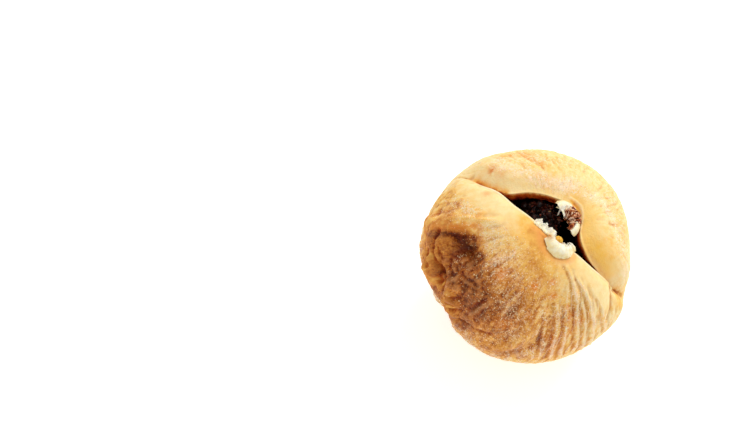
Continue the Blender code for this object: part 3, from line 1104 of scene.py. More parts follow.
@dataclass(frozen=True)
class PaperFinish:
    """Dry papery scale: fibres along it, darker towards its root, browner all over with age, and stained; an
    old scale's pale crumpled patches are partly painted highlights, and its dark fold lines painted shade.
    """

    tip: str = "FFF8E0"
    middle: str = "FAEBC4"
    root: str = "F2D69C"
    # An old scale's colours: the pale one is partly a painted highlight on its crumples.
    old_tip: str = "F6D2B0"
    old_middle: str = "C0703C"
    old: str = "5A1406"
    fibre: str = "6A1C08"
    stain: str = "B0660E"

    def build(self) -> Material:
        """Makes the material.

        Returns:
            The material.
        """
        w = Wiring("eye_paper")
        along, age = w.attribute("along"), w.attribute("age")
        across = w.times(w.attribute("across"), 4.0)
        place = w.add("ShaderNodeCombineXYZ", {0: across, 1: along, 2: w.attribute("number")})
        fibres = w.noise(1.7, 4, place.outputs[0], Roughness=0.65)
        mottle = w.noise(2.2, 3)
        share = w.plus(along, w.rescale(mottle, 0.3, 0.7, -0.2, 0.2))
        young = w.ramp(share, (0.0, self.root), (0.4, self.middle), (0.8, self.tip))
        # An old scale's colour runs with the crumple noise, so its pale patches are partly painted highlights.
        crumple = w.noise(1.5, 2, Roughness=0.6, Distortion=0.8)
        worn = w.plus(w.rescale(crumple, 0.35, 0.65, -0.5, 0.5), w.rescale(along, 0.0, 1.0, 0.3, 0.7))
        worn = w.minus(worn, w.attribute("burnt"))
        aged = w.ramp(worn, (0.15, self.old), (0.5, self.old_middle), (0.82, self.old_tip))
        colour = w.blend(w.rescale(age, 0.15, 0.85), young, aged)
        # Painted shade: dark lines along the paper's folds.
        folds = w.rescale(w.apart(w.noise(2.4, 1, Distortion=0.6), 0.5), 0.05, 0.0)
        dark = w.times(w.rescale(fibres, 0.54, 0.7), w.rescale(age, 0, 0.6, 0.1, 0.5))
        dark = w.larger(dark, w.times(folds, w.rescale(age, 0.2, 0.7, 0.0, 0.8)))
        colour = w.blend(dark, colour, linear(self.fibre))
        stain = w.times(w.attribute("stain"), w.rescale(mottle, 0.35, 0.6, 0.45, 1.0))
        colour = w.blend(stain, colour, linear(self.stain))
        w.bump(fibres, 0.06, 0.7)
        return w.surface(
            Base_Color=colour,
            Roughness=0.62,
            Specular_IOR_Level=0.12,
            Subsurface_Weight=0.3,
            Subsurface_Radius=(1.0, 0.7, 0.4),
            Subsurface_Scale=0.5 * MM,
        )


@dataclass(frozen=True)
class PulpFinish:
    """Dark, sticky dried florets with a syrupy gloss; their near-black is partly painted shade of the hollow."""

    # Near black: partly the pulp's own colour and partly painted shade.
    dark: str = "0E0403"
    middle: str = "280B06"
    light: str = "6E2812"
    dry: str = "B07858"

    def build(self) -> Material:
        """Makes the material.

        Returns:
            The material.
        """
        w = Wiring("dried_pulp")
        lumps = w.noise(0.9, 4, Roughness=0.6)
        fine = w.noise(4.0, 3)
        share = w.plus(w.attribute("crest"), w.rescale(lumps, 0.3, 0.7, -0.25, 0.25))
        colour = w.ramp(share, (0.0, self.dark), (0.5, self.middle), (0.8, self.light), (1.0, self.dry))
        w.bump(w.plus(lumps, w.times(fine, 0.4)), 0.15, 0.8)
        return w.surface(
            Base_Color=colour,
            Roughness=w.rescale(fine, 0.3, 0.7, 0.25, 0.5),
            Specular_IOR_Level=0.3,
            Coat_Weight=0.15,
            Coat_Roughness=0.2,
            Subsurface_Weight=0.1,
            Subsurface_Scale=0.6 * MM,
        )


@dataclass(frozen=True)
class SeedFinish:
    """Smooth tan seed coat, darkened where the mesh says so: partly a sticky coat, partly painted shade."""

    clean: Stops = ((0.3, "B8741F"), (0.5, "E3AC3E"), (0.7, "F4D06A"))
    # The dark colours: partly a sticky coat and partly painted shade.
    sticky: Stops = ((0.35, "0C0302"), (0.55, "1E0704"), (0.75, "4E1C0A"))

    def build(self) -> Material:
        """Makes the material.

        Returns:
            The material.
        """
        w = Wiring("seed_coat")
        mottle = w.noise(3.0, 3)
        clean, sticky = w.ramp(mottle, *self.clean), w.ramp(mottle, *self.sticky)
        film = w.plus(w.attribute("film"), w.rescale(mottle, 0.3, 0.7, -0.35, 0.35))
        colour = w.blend(w.rescale(film, 0.3, 0.6), clean, sticky)
        w.bump(w.noise(12.0, 2), 0.04, 0.6)
        return w.surface(
            Base_Color=colour,
            Roughness=w.rescale(mottle, 0.3, 0.7, 0.28, 0.6),
            Specular_IOR_Level=0.15,
            Subsurface_Weight=0.2,
            Subsurface_Scale=0.4 * MM,
        )


@dataclass(frozen=True)
class WoodFinish:
    """Dry fibrous stalk, paler at its cut end."""

    fibres: Stops = ((0.3, "3E2413"), (0.5, "6E4526"), (0.72, "A67A4C"))
    cut_end: str = "B98F5C"

    def build(self) -> Material:
        """Makes the material.

        Returns:
            The material.
        """
        w = Wiring("dry_stalk")
        along = w.attribute("along")
        around = {0: w.attribute("round_x"), 1: w.attribute("round_y"), 2: along}
        place = w.add("ShaderNodeCombineXYZ", around)
        fibres = w.noise(6.0, 4, place.outputs[0], Roughness=0.7)
        colour = w.ramp(fibres, *self.fibres)
        colour = w.blend(w.rescale(along, 0.86, 0.98), colour, linear(self.cut_end))
        w.bump(fibres, 0.15, 0.9)
        return w.surface(Base_Color=colour, Roughness=0.82)


@dataclass(frozen=True)
class SugarFinish:
    """Grains of sugar that have dried out on the skin."""

    sugar: Stops = ((0.3, "FFDFBE"), (0.5, "FFEED6"), (0.7, "F8D2AC"))

    def build(self) -> Material:
        """Makes the material.

        Returns:
            The material.
        """
        w = Wiring("sugar_bloom")
        colour = w.ramp(w.noise(1.3, 2), *self.sugar)
        w.bump(w.noise(20.0, 1), 0.02, 0.5)
        return w.surface(
            Base_Color=colour,
            Roughness=0.5,
            Subsurface_Weight=0.3,
            Subsurface_Scale=0.15 * MM,
        )


@dataclass(frozen=True)
class TableFinish:
    """Plain white table top, which glows a little so that it stays white."""

    white: Stops = ((0.3, "F4F4F3"), (0.7, "F7F7F6"))
    glow: float = 0.47

    def build(self) -> Material:
        """Makes the material.

        Returns:
            The material.
        """
        w = Wiring("white_table")
        return w.surface(
            Base_Color=w.ramp(w.noise(0.05, 1), *self.white),
            Roughness=0.8,
            Emission_Color=(1, 1, 1, 1),
            Emission_Strength=self.glow,
        )


# ---- the fig's skin


@dataclass
class SkinAndFlesh:
    """Skin and flesh in one closed piece: lobes, folds, ribs, lips and the hollow behind the mouth.

    Lengths are in millimetres and angles in degrees. The depths are those of the rings of faces in the
    hollow, and the wall's rows are a depth, with how far the wall stands back from the lip there.
    """

    form: FigForm
    relief: SkinRelief = field(default_factory=SkinRelief)
    cuts: tuple[int, int] = (22, 4)
    lip_pull: float = 34.0
    end_fade: float = 22.0
    mouth_from: float = -73.0
    mouth_to: float = 62.0
    depths: tuple[float, ...] = (
        0.12, 0.3, 0.5, 0.75, 1.0, 1.3, 1.65, 2.0, 2.4, 2.9, 3.4, 4.0, 4.6, 5.2, 5.8, 6.4, 7.0, 7.6,
    )
    wall: tuple[tuple[float, float], ...] = (
        (0.0, 0.0), (0.3, -0.04), (1.3, 0.1), (3.0, 1.7), (5.6, 1.6), (7.6, -0.2),
    )
    closed_half: float = 0.15
    full_half: float = 0.6
    crease_share: float = 0.07
    roughness: float = 0.22
    far_share: float = 0.35

    @property
    def grid(self) -> int:
        """Faces along each side of the starting cube."""
        return (self.cuts[0] + 1) * (self.cuts[1] + 1)

    def start(self) -> Object:
        """A cube of square faces, with one row of them centred on the split.

        Returns:
            The cube.
        """
        deselect()
        bpy.ops.mesh.primitive_cube_add(size=2)
        ball = bpy.context.object

        def divide() -> None:
            """Cuts all its faces up."""
            bpy.ops.mesh.select_all(action="SELECT")
            for number in self.cuts:
                bpy.ops.mesh.subdivide(number_cuts=number)

        in_edit_mode(ball, divide)
        return ball

    def skin_point(self, directions: Array) -> Array:
        """Places on the skin with all its relief, along unit directions."""
        radius = self.form.radius(directions) + self.relief.height(directions, self.form)
        return directions * radius[:, None]

    def part_the_skin(self, cube: Array) -> tuple[Array, Array, Array]:
        """Blows the cube up to a ball, and draws the rows beside the split out to the lips.

        Args:
            cube: The cube's vertices.

        Returns:
            Unit directions, and the turn in degrees and the side (0 off the lips' edges) of each.
        """
        ball = np.tan(cube * math.pi / 4)
        ball /= np.linalg.norm(ball, axis=1, keepdims=True)
        x, y, z = ball.T
        turn = np.arctan2(x, z)
        degrees = np.degrees(turn)
        tilt = np.arcsin(np.abs(y))
        row = math.tan(math.radians(45 / self.grid))
        lip_tilt = np.arctan(row * np.maximum(np.abs(x), z) / np.maximum(1e-6, np.hypot(x, z)))
        middle, half = self.form.mouth(degrees)
        side = np.sign(y)
        edge = (half + side * middle) / self.form.mean_radius
        pull = math.radians(self.lip_pull)
        drawn = edge + (tilt - lip_tilt) * (pull - edge) / (pull - lip_tilt)
        stations = self.form.mouth_stations
        share = smooth((degrees - stations[0][0]) / self.end_fade + 1)
        share *= smooth((stations[-1][0] - degrees) / self.end_fade + 1)
        use = (tilt < pull) & (np.abs(degrees) < 110) & (side != 0)
        tilt = np.where(use, tilt + share * (drawn - tilt), tilt)
        lips = (np.abs(cube[:, 1]) < 1.5 / self.grid) & (np.abs(degrees) < 90)
        return from_split(turn, side * tilt), degrees, np.where(lips, side, 0)

    def openness(self, half: Array) -> Array:
        """How far the split is open where it is so wide, from 0 to 1."""
        return between(half, self.closed_half, self.full_half)

    def hollow_point(self, turn: Array, side: Array, depth: float) -> Array:
        """Points on the wall of the hollow.

        Args:
            turn: Round the split plane, in degrees.
            side: +1 on the far wall, -1 on the near one.
            depth: Below the lips' edges, in millimetres.

        Returns:
            A point for each turn, in the growing frame.
        """
        middle, half = self.form.mouth(turn)
        share = self.openness(half)
        edge = middle + side * half
        direction = from_split(np.radians(turn), edge / self.form.mean_radius)
        lip = np.linalg.norm(self.skin_point(direction), axis=1)
        widening = np.interp(depth, *np.array(self.wall).T)
        reach = lip * np.cos(edge / self.form.mean_radius) - depth * np.maximum(self.crease_share, share)
        spread = widening * (share if widening > 0 else half)
        points = in_mouth(turn, lip * np.sin(edge / self.form.mean_radius) + side * spread, reach)
        uneven = grain(points, 1.3, 3, 8) * self.roughness * smooth(depth / 1.5) * share
        points[:, 1] += uneven * side
        return points

    def sink_the_hollow(self, ball: Object) -> None:
        """Extrudes the faces between the lips inwards, ring by ring.

        Args:
            ball: The skin, in the growing frame.
        """
        mesh = ball.data
        turn, side = read(mesh, "turn"), read(mesh, "side")
        corners = corners_of(mesh.polygons, 4)
        middle = turn[corners].mean(1)
        strip = (side[corners] != 0).all(1) & (middle > self.mouth_from) & (middle < self.mouth_to)
        strip &= np.ptp(side[corners], axis=1) > 1
        mesh.polygons.foreach_set("select", strip)
        chosen = np.zeros(len(mesh.vertices), bool)
        chosen[np.unique(corners[strip])] = True
        mesh.vertices.foreach_set("select", chosen)
        mesh.edges.foreach_set("select", np.zeros(len(mesh.edges), bool))
        mesh.update()
        for depth in self.depths:
            in_edit_mode(ball, lambda: bpy.ops.mesh.extrude_region())
            picked = np.empty(len(mesh.vertices), bool)
            mesh.vertices.foreach_get("select", picked)
            places = vertices_of(mesh)
            places[picked] = self.hollow_point(read(mesh, "turn")[picked], read(mesh, "side")[picked], depth)
            move_vertices(mesh, places)
            paint(mesh, depth=np.where(picked, depth, read(mesh, "depth")))

    def rest_on_the_table(self, places: Array) -> Array:
        """Presses flat what would lie below the table, but for its fine wrinkles.

        Args:
            places: The vertices, in the row frame.

        Returns:
            The same vertices, none of them below the table.
        """
        height = places[:, 2]
        creased = 0.05 * (1 + grain(places * 1000, 0.9, 2, 9)) * MM
        pressed = np.where(height < creased, creased * between(height, -0.6 * MM, 0.1 * MM), height)
        return np.column_stack([places[:, :2], np.maximum(0, pressed)])

    def curvature(self, mesh: Mesh, passes: int) -> Array:
        """How far each vertex stands out from those around it.

        Args:
            mesh: The piece's mesh.
            passes: How many times the places are averaged, so how wide a neighbourhood counts.

        Returns:
            Millimetres, + on a crest.
        """
        a, b = corners_of(mesh.edges, 2).T
        number = len(mesh.vertices)
        links = np.bincount(a, minlength=number) + np.bincount(b, minlength=number)

        def averaged(values: Array) -> Array:
            """The mean of each vertex's neighbours."""
            return (np.bincount(a, values[b], number) + np.bincount(b, values[a], number)) / links

        places = vertices_of(mesh) / MM
        normals = np.empty(number * 3)
        mesh.vertex_normals.foreach_get("vector", normals)
        around = places.copy()
        for _ in range(passes):
            around = np.column_stack([averaged(around[:, axis]) for axis in range(3)])
        bulge = ((places - around) * normals.reshape(-1, 3)).sum(1)
        for _ in range(2):
            bulge = 0.5 * bulge + 0.5 * averaged(bulge)
        return bulge

    def tone(self, directions: Array, bands: Array, brown: Array, broad: Array) -> Array:
        """How dark the skin is.

        Args:
            directions: Unit directions.
            bands: How far each lies in a smooth band beside the lips.
            brown: How far each lies in the brown cheek.
            broad: How far each stands out from what lies widely around it.

        Returns:
            0 where the skin is palest to 1 where it is darkest.
        """
        stains, relief = Stains(), self.relief
        polar = polar_of(directions)
        tone = 0.02 + cover(stains.tone, directions) + 0.16 * brown
        tone = tone * (1 - 0.55 * bands) + cover(stains.warm, directions)
        tone += cover(stains.brown, directions) * 0.35
        # Painted shade along the grooves beside the ribs.
        tone += 0.12 * cover([relief.groove(rib, 1.4, 0.9) for rib in relief.ribs], directions)
        tone += 0.1 * between(polar, 95, 135)
        # Painted shade: darker where the skin lies in a broad hollow.
        tone += 0.1 * np.clip(-broad * 3, 0, 1)
        return tone * (1 - cover(stains.clear, directions))

    def sugar(
        self, directions: Array, bands: Array, brown: Array, fine: Array, ribs: Array
    ) -> tuple[Array, Array]:
        """How thick the sugar lies.

        Args:
            directions: Unit directions.
            bands: How far each lies in a smooth band beside the lips.
            brown: How far each lies in the brown cheek.
            fine: How far each stands out from what lies closely around it.
            ribs: How plain the ribs are.

        Returns:
            The bloom, which is dust, and the frost, which is grains, from 0 to 1 for each direction.
        """
        stains = Stains()
        polar = polar_of(directions)
        flecks = grain(directions * self.form.mean_radius, 2.6, 3, 11)
        bloom = cover(stains.bloom, directions) * (1 - 0.95 * brown)
        bloom *= np.where(directions[:, 1] < 0, 0.6, 1.5)
        crest = np.clip(fine * 26, -1, 1)
        bloom = bloom * (0.75 + 0.5 * flecks) + 0.35 * np.clip(crest, 0, 1) * (ribs > 0.2)
        bloom += 0.35 * between(polar, 85, 100) * (1 - brown) * (0.6 + flecks)
        bloom *= 1 - 0.97 * bands
        plain = cover(stains.plain, directions)
        bloom = np.clip(bloom + 0.35 * np.minimum(crest, 0) * bloom, 0, 1) * (1 - plain)
        frost = np.clip(bloom + 0.75 * cover(stains.frost, directions), 0, 1)
        frost = frost * (1 - bands) * (1 - 0.8 * brown)
        return bloom, np.maximum(frost * (1 - 0.8 * plain), cover(stains.sparkle, directions))

    def colour_masks(self, mesh: Mesh, directions: Array) -> None:
        """Keeps what the finish reads at each vertex.

        Args:
            mesh: The piece's mesh, as it lies.
            directions: The unit direction of each vertex in the growing frame.
        """
        x, y = directions.T[:2]
        form, wander, stains = self.form, self.relief.wander, Stains()
        polar = polar_of(directions)
        turn = turn_of(directions)
        depth = read(mesh, "depth")
        outside = depth < 0.01
        fine, broad = self.curvature(mesh, 3), self.curvature(mesh, 30)
        bands = Bands().share(directions, form)
        brown = self.relief.brown(directions)
        ribs = wander.strength(directions, brown, 1 - bands, form)
        tone = self.tone(directions, bands, brown, broad)
        bloom, frost = self.sugar(directions, bands, brown, fine, ribs)
        grit = np.where(y < 0, 1.0, self.far_share) + 5 * cover(stains.sparkle, directions)
        halo = Halo().share(directions, form) + cover(stains.torn, directions)
        # The depth that darkens the flesh, partly as painted shade; it grows faster past the eye.
        sunk = depth * np.maximum(self.crease_share, self.openness(form.mouth(turn)[1]))
        sunk = sunk * (1 + 1.6 * between(turn, 4, 14))
        paint(
            mesh,
            bloom=bloom * outside,
            frost=frost * outside,
            gritty=grit * outside,
            rib=np.clip(ribs, 0, 1) * outside,
            halo=np.clip(halo, 0, 1) * outside,
            # Painted highlight on the convex crests where the skin is dark.
            worn=np.clip(fine * 16, 0, 0.6) * np.clip(1.5 * tone - 0.4, 0, 1) * outside,
            # Painted shade in creases, from how far each vertex lies below its neighbours.
            crease=np.clip(-fine * 24, 0, np.where(ribs > 0.2, 0.4, 0.9)) * outside,
            thread=self.threads(directions) * outside,
            # The near lip's edge is painted light, as if lit from behind; the far lobe's is the paper's pale
            # torn edge.
            rim=np.maximum(self.lit_rim(directions), cover(stains.rim, directions)) * outside,
            russet=cover(stains.russet, directions) * outside,
            # Painted glow beside the far lip.
            honey=cover(stains.honey, directions) * outside,
            tone=np.clip(tone, 0, 1),
            streak=(1 - bands) * np.where(y < 0, between(polar, 26, 50), self.far_share),
            amber=cover(stains.amber, directions),
            ridge=self.beside_ribs(directions),
            flesh=between(depth, 0.0, 0.2),
            depth=np.clip(sunk / 4.5, 0, 1),
        )
        hoop = np.maximum(0.03, np.hypot(x, y))
        bearing = wander.bearing(directions)
        for name, rows in (
            ("growth", [16 * x / hoop, 16 * y / hoop, polar / 9]),
            ("swirl", [np.cos(bearing), np.sin(bearing), 0 * bearing]),
        ):
            layer = mesh.attributes.new(name, "FLOAT_VECTOR", "POINT")
            layer.data.foreach_set("vector", np.column_stack(rows).astype(np.float32).ravel())

    def threads(self, directions: Array) -> Array:
        """Where sugar may dry in a thin line along a rib's crest, from 0 to 1."""
        along = [Line(rib.path, 1.6, 4.8 * rib.strength) for rib in self.relief.ribs]
        return cover(along, directions)

    def beside_ribs(self, directions: Array) -> Array:
        """How far each direction lies from the nearest rib's crest.

        Args:
            directions: Unit directions.

        Returns:
            Degrees up to 6, + on the crest's left.
        """
        nearest = np.full(len(directions), 6.0)
        for rib in self.relief.ribs:
            away = rib.aside(directions)
            nearest = np.where(np.abs(away) < np.abs(nearest), away, nearest)
        return nearest

    def lit_rim(self, directions: Array) -> Array:
        """How far each direction lies on the near lip's thin edge, which is painted pale as if lit from behind.

        Args:
            directions: Unit directions.

        Returns:
            A share from 0 to 1 for each direction.
        """
        turn = turn_of(directions)
        middle, half = self.form.mouth(turn)
        away = self.form.offset_of(directions) - (middle - half)
        before_eye = between(turn, -62, -48) * between(turn, -13, -17)
        past_eye = between(turn, 9, 14) * between(turn, 44, 34)
        return 0.75 * bell(away + 0.05, 0.2) * (before_eye + past_eye)

    def build(self) -> Object:
        """Models, paints and dresses the piece.

        Returns:
            The piece.
        """
        ball = self.start()
        mesh = ball.data
        directions, turn, side = self.part_the_skin(vertices_of(mesh))
        move_vertices(mesh, self.skin_point(directions))
        paint(mesh, turn=turn, side=side, depth=np.zeros(len(turn)))
        self.sink_the_hollow(ball)
        places = vertices_of(mesh)
        directions = places / np.linalg.norm(places, axis=1, keepdims=True)
        move_vertices(mesh, self.rest_on_the_table(self.form.lay_down(places)))
        in_edit_mode(ball, face_outwards)
        self.colour_masks(mesh, directions)
        for name in ("turn", "side"):
            mesh.attributes.remove(mesh.attributes[name])
        return finish_piece(ball, "skin_and_flesh", SkinFinish().build(), ["fig_body"])


@dataclass(frozen=True)
class Halo:
    """The tan marks that the eye's paper has left on the near lobe: part of a ring, and a strip before it.

    The eye's middle and the strip are at a turn in degrees and an offset in millimetres.
    """

    turn: float = 2.0
    offset: float = -1.65
    reach: float = 12.0
    skin_reach: float = 12.1
    ring: float = 2.75
    ring_width: float = 0.42
    ring_strength: float = 0.7
    strip_turn: float = -10
    strip_offset: float = -2.8
    strip_length: float = 6
    strip_width: float = 0.45
    strip_strength: float = 0.75

    def share(self, directions: Array, form: FigForm) -> Array:
        """How far each direction lies on the marks.

        Args:
            directions: Unit directions.
            form: The fig's shape.

        Returns:
            A share from 0 to 1 for each direction.
        """
        across = directions[:, 1]
        eye = in_mouth(*(np.array([value]) for value in (self.turn, self.offset, self.reach)))[0]
        away = np.linalg.norm(directions * self.skin_reach - eye, axis=1)
        strip = bell(turn_of(directions) - self.strip_turn, self.strip_length)
        strip *= bell(form.offset_of(directions) - self.strip_offset, self.strip_width)
        ring = self.ring_strength * bell(away - self.ring, self.ring_width)
        return np.maximum(ring, self.strip_strength * strip) * (across < 0.05)


@dataclass(frozen=True)
class Stains:
    """Where on the skin its colours lie, as spots and lines.

    tone darkens it, warm does so on the smooth bands too, brown darkens it most and clear lightens it;
    tone's line and brown's lines are painted shade: under the cheek's fold, in two grooves, inside the far
    scales' torn edge and along the split's closed end; clear's lines are painted highlights on the crests of
    that fold and of two ridges. bloom is dusty sugar, frost grains of it, sparkle its brightest grains, and
    plain keeps it off. amber and russet are stains, honey is a painted glow by the far lip, torn is the
    paper's tan edge on the far lobe, and rim its pale edge.
    """

    tone: tuple[Spot | Line, ...] = spots(
        (95, -105, 54, 0.52), (66, -75, 26, 0.24), (54, -50, 12, 0.14), (60, -136, 10, 0.25),
        (84, -150, 12, 0.18), (67, -125, 12, 0.12), (66, -104, 11, 0.24), (60, -107, 12, 0.26),
        (56, -118, 6, 0.16), (64, 3, 6, 0.28), (62, 149, 4, 0.12), (66, -94, 6, 0.32), (64, -80, 7, 0.14),
        (85, -93, 5, 0.2), (88, -60, 10, 0.08), (50, -101, 13, 0.24), (53, -80, 11, 0.12),
        (38, -82, 9, 0.12), (28, -104, 12, 0.16), (48, 145, 18, 0.08), (50, 125, 28, 0.12),
        (46, 65, 22, 0.14), (41, 30, 9, 0.14), (72, -165, 11, 0.18), (80, -45, 16, 0.13),
        (61, -77, 5, 0.16), (51, -148, 5, 0.12), (70, -152, 5, 0.08), (59, -121, 5, 0.2),
        (74, -61, 5, 0.08), (47, 117, 8, 0.08), (72, 9, 5, 0.2), (53, -159, 6, 0.12),
        (64, -160, 7, 0.1), (69, -152, 5, 0.14), (59, -121, 4, 0.3), (65, -95, 5, 0.3),
        (60, -101, 5, 0.14), (86, -93, 4, 0.12), (45, -110, 6, 0.12), (45, -78, 6, 0.12),
        (43, 44, 8, 0.1), (64, -128, 5, 0.12),
    # The line below is painted shade along the split's closed end.
    ) + lines((1.9, 0.45, (66, 174), (57, 175.5), (51, 176), (46, 176), (42, 175)))
    warm: tuple[Spot, ...] = spots(
        (19, -140, 8, 0.34), (13, -103, 7, 0.42), (9, -75, 5, 0.15), (22, -112, 6, 0.08),
        (28, 10, 9, 0.17), (24, -40, 8, 0.08), (26, -76, 8, 0.09), (36, 8, 7, 0.06), (62, -5, 10, 0.07),
        (52, -44, 7, 0.08),
    )
    clear: tuple[Spot | Line, ...] = spots(
        (88, -112, 8, 0.28), (89, -127, 7, 0.38), (78, -111, 4, 0.3), (31, -42, 6, 0.85),
        (42, -27, 5, 0.5), (86.5, -104.5, 4, 0.22), (84, -82.5, 4, 0.15), (88, -134, 5, 0.22),
        (69, -136, 3, 0.1),
    # The lines are painted highlights along the crests of the cheek's fold and of two ridges on the near lobe.
    ) + lines(
        (1.0, 0.12, (78, -155), (65, -153), (55, -150.5), (46, -148)),
        (0.9, 0.3, (44, -87), (47.5, -87.5), (54, -87.5), (60.5, -86.5)),
        (1.6, 0.25, (50, -66), (59.5, -68.5), (67.5, -69.5), (75.5, -71)),
    )
    bloom: tuple[Spot | Line, ...] = spots(
        (34, -143, 7, 0.8), (41, -131, 8, 0.8), (42, -118, 5, 0.5), (34, -115, 6, 0.5),
        (40, -97, 6, 0.25), (36, -72, 6, 0.15), (57, -90, 3, 0.4), (71, -75, 6, 0.3), (33, -66, 3, 0.3),
        (48, -52, 4, 0.3), (56, -50, 4, 0.25), (66, -46, 4, 0.2), (40, -42, 3, 0.3), (46, -38, 3, 0.3),
        (82, -62, 6, 0.3), (58, -24, 4, 0.6), (50, -28, 3, 0.3), (66, -20, 4, 0.4), (72, -8, 6, 0.4),
        (80, -60, 6, 0.3), (50, -66, 2.5, 0.5), (34, -160, 8, 0.8), (45, -165, 9, 0.7), (52, 178, 9, 0.4),
        (56, -160, 6, 0.4), (37, 40, 6, 0.4), (43, 27, 6, 0.5), (51, 19, 6, 0.4), (60, 15, 6, 0.3),
        (46, 110, 12, 0.3), (46, 72, 12, 0.3), (50, 42, 12, 0.3), (52, 136, 10, 0.3), (60, -164, 7, 0.3),
        (70, -166, 8, 0.25), (54, -157, 5, 0.6), (76, -160, 6, 0.2), (47, -141, 3, 0.5),
        (57, -115, 2.5, 0.7), (50, 158, 7, 0.5),
    ) + lines(
        (1.8, 0.9, (57, -118), (51, -117), (45, -116), (40, -115.5), (35, -114)),
        (0.7, 0.9, (45, -87), (47.5, -87.5), (54, -87.5), (59, -87)),
        (3.2, 0.9, (59, 158), (52, 161), (46, 161), (42, 158), (38, 153), (33, 147), (32, 141)),
        (3.6, 0.85, (32, 141), (29, 131), (28, 119), (29, 108), (27, 98), (26, 88)),
        (3.6, 0.6, (26, 88), (30, 76), (33, 66), (35, 56), (38, 46)),
    )
    plain: tuple[Spot, ...] = spots((67, -97, 9, 0.85), (63, -112, 7, 0.6))
    sparkle: tuple[Spot, ...] = spots(
        (66, -131, 1.5, 0.8), (68.5, -129.5, 1.0, 0.7), (62, -135, 1.0, 0.7), (54, -126, 1.4, 0.7),
        (57, -129, 1.0, 0.5), (58, -141, 1.0, 0.5), (73, -128, 0.9, 0.5), (50, -131, 1.2, 0.5),
    )
    frost: tuple[Spot, ...] = spots(
        (56, -78, 26, 0.9), (45, -115, 18, 0.8), (50, -45, 14, 0.8), (44, 180, 14, 0.6),
        (68, -20, 14, 0.4), (88, -70, 20, 0.4), (34, 100, 20, 0.2), (44, 30, 16, 0.25),
        (62, -110, 14, 0.4), (60, -164, 12, 0.5),
    )
    amber: tuple[Spot | Line, ...] = lines(
        (1.3, 0.35, (64, 174.5), (57, 176.3), (51, 176.8), (46, 177), (42, 176)),
        (1.5, 0.6, (77, -151), (67, -149), (57, -147.5), (47, -144)),
        (0.9, 0.9, (45, -47.5), (50, -46), (53.5, -44)),
    ) + spots(
        (39, -80, 2.6, 1.0), (40, -62, 2.6, 0.9), (33, -66.5, 2.2, 0.8), (44.5, -106, 2.5, 0.6),
        (55, -72, 4, 0.4), (47, -106, 3.5, 0.7), (52, -44, 3, 0.7), (62, -41, 3.5, 0.6),
        (56, -35, 2.5, 0.6), (66, -49, 4, 0.4), (74, -48, 4, 0.4), (65, -82, 4, 0.7), (64, -128, 4, 0.3),
        (34, 62, 3, 0.3), (55, 140, 5, 0.5), (60, 152, 4, 0.4), (57, 166, 2.4, 1.0), (44, 133, 3, 0.4),
        (50, 166, 3, 0.4), (48, -172, 2.5, 0.5),
    )
    # Its lines are painted shade: a shadow under the cheek's fold, dark lines in two grooves and inside the far
    # scales' torn edge, and along the split's closed end; its spots are brown patches.
    brown: tuple[Spot | Line, ...] = lines(
        (1.7, 0.9, (79, -147), (68, -146), (62, -144)),
        (0.65, 1.0, (21.9, 102), (21.2, 94), (19.9, 85), (18.0, 75.5), (16.0, 66), (14.3, 56)),
        (2.6, 0.28, (52, -82), (57, -82), (62, -81.5), (68, -79)),
        (1.2, 0.12, (63, -56), (67, -56.5), (77.5, -60)),
        (1.0, 1.0, (64, 175), (57, 177), (51, 177.5), (46, 178), (42, 177)),
    ) + spots(
        (60, -134, 7, 0.8), (67, -127, 6, 0.6), (73, -171, 4, 0.5), (87, -171, 4, 0.6),
        (52.5, -163, 1.3, 0.4), (64, -157, 3, 0.2), (50, -110, 3, 0.5), (72, -122, 5, 0.5),
        (80, -127, 3, 0.7), (56, -138, 3.5, 0.4), (64, -141, 4, 0.8), (57, -131, 5, 0.8),
        (84, -127, 4, 0.6), (79, -110, 3, 0.4),
    )
    torn: tuple[Line, ...] = lines(
        (1.2, 0.95, (21.5, 97), (20.5, 87), (18.7, 77), (16.7, 67), (15.2, 57), (13.2, 45)),
    )
    # Painted glow: where the bright yellow lightens the band beside the far lip.
    honey: tuple[Line, ...] = lines(
        (4.5, 0.55, (24, 100), (20, 74), (17.5, 47), (17.6, 25), (21.2, 12.1), (27.4, 10),
         (35.7, 4.7), (45, 4)),
    )
    rim: tuple[Line, ...] = lines((0.6, 0.5, *FAR_EDGE))
    russet: tuple[Spot | Line, ...] = lines(
        (0.8, 0.9, (62, 176), (57, 177.5), (51, 178), (46, 178.5), (42, 177.5)),
    ) + spots(
        (67, -135, 3, 0.7), (70, -131, 3.5, 0.7), (67, -128, 2.5, 0.6), (95, -96, 3, 0.9),
        (57, 166, 1.6, 0.3), (61, -118, 3, 0.4), (72, -85, 3, 0.5), (70, -57.5, 2, 0.7),
        (87, -136, 3, 0.3), (56, -108, 2.5, 0.4), (48.5, -89.5, 2.2, 0.5), (52, -59, 1.2, 0.8),
    )


# ---- the torn eye


class Half(Enum):
    """The two halves of the torn eye."""

    NEAR = "near"
    FAR = "far"


@dataclass(frozen=True)
class Petal:
    """One papery scale: where it grows from the fan's rim, and how it bulges, curls and frays.

    Angles are in degrees round the fan's centre and lengths in millimetres; dome is how far its middle
    bulges, rise what its tip adds, cup how far its sides stand over its middle, age how brown it is and burn
    how much browner its tip is.
    """

    bearing: float
    spread: float
    root: float
    tip: float
    lift: float
    dome: float
    rise: float
    cup: float
    ripple: float
    teeth: float
    age: float
    burn: float = 0.0


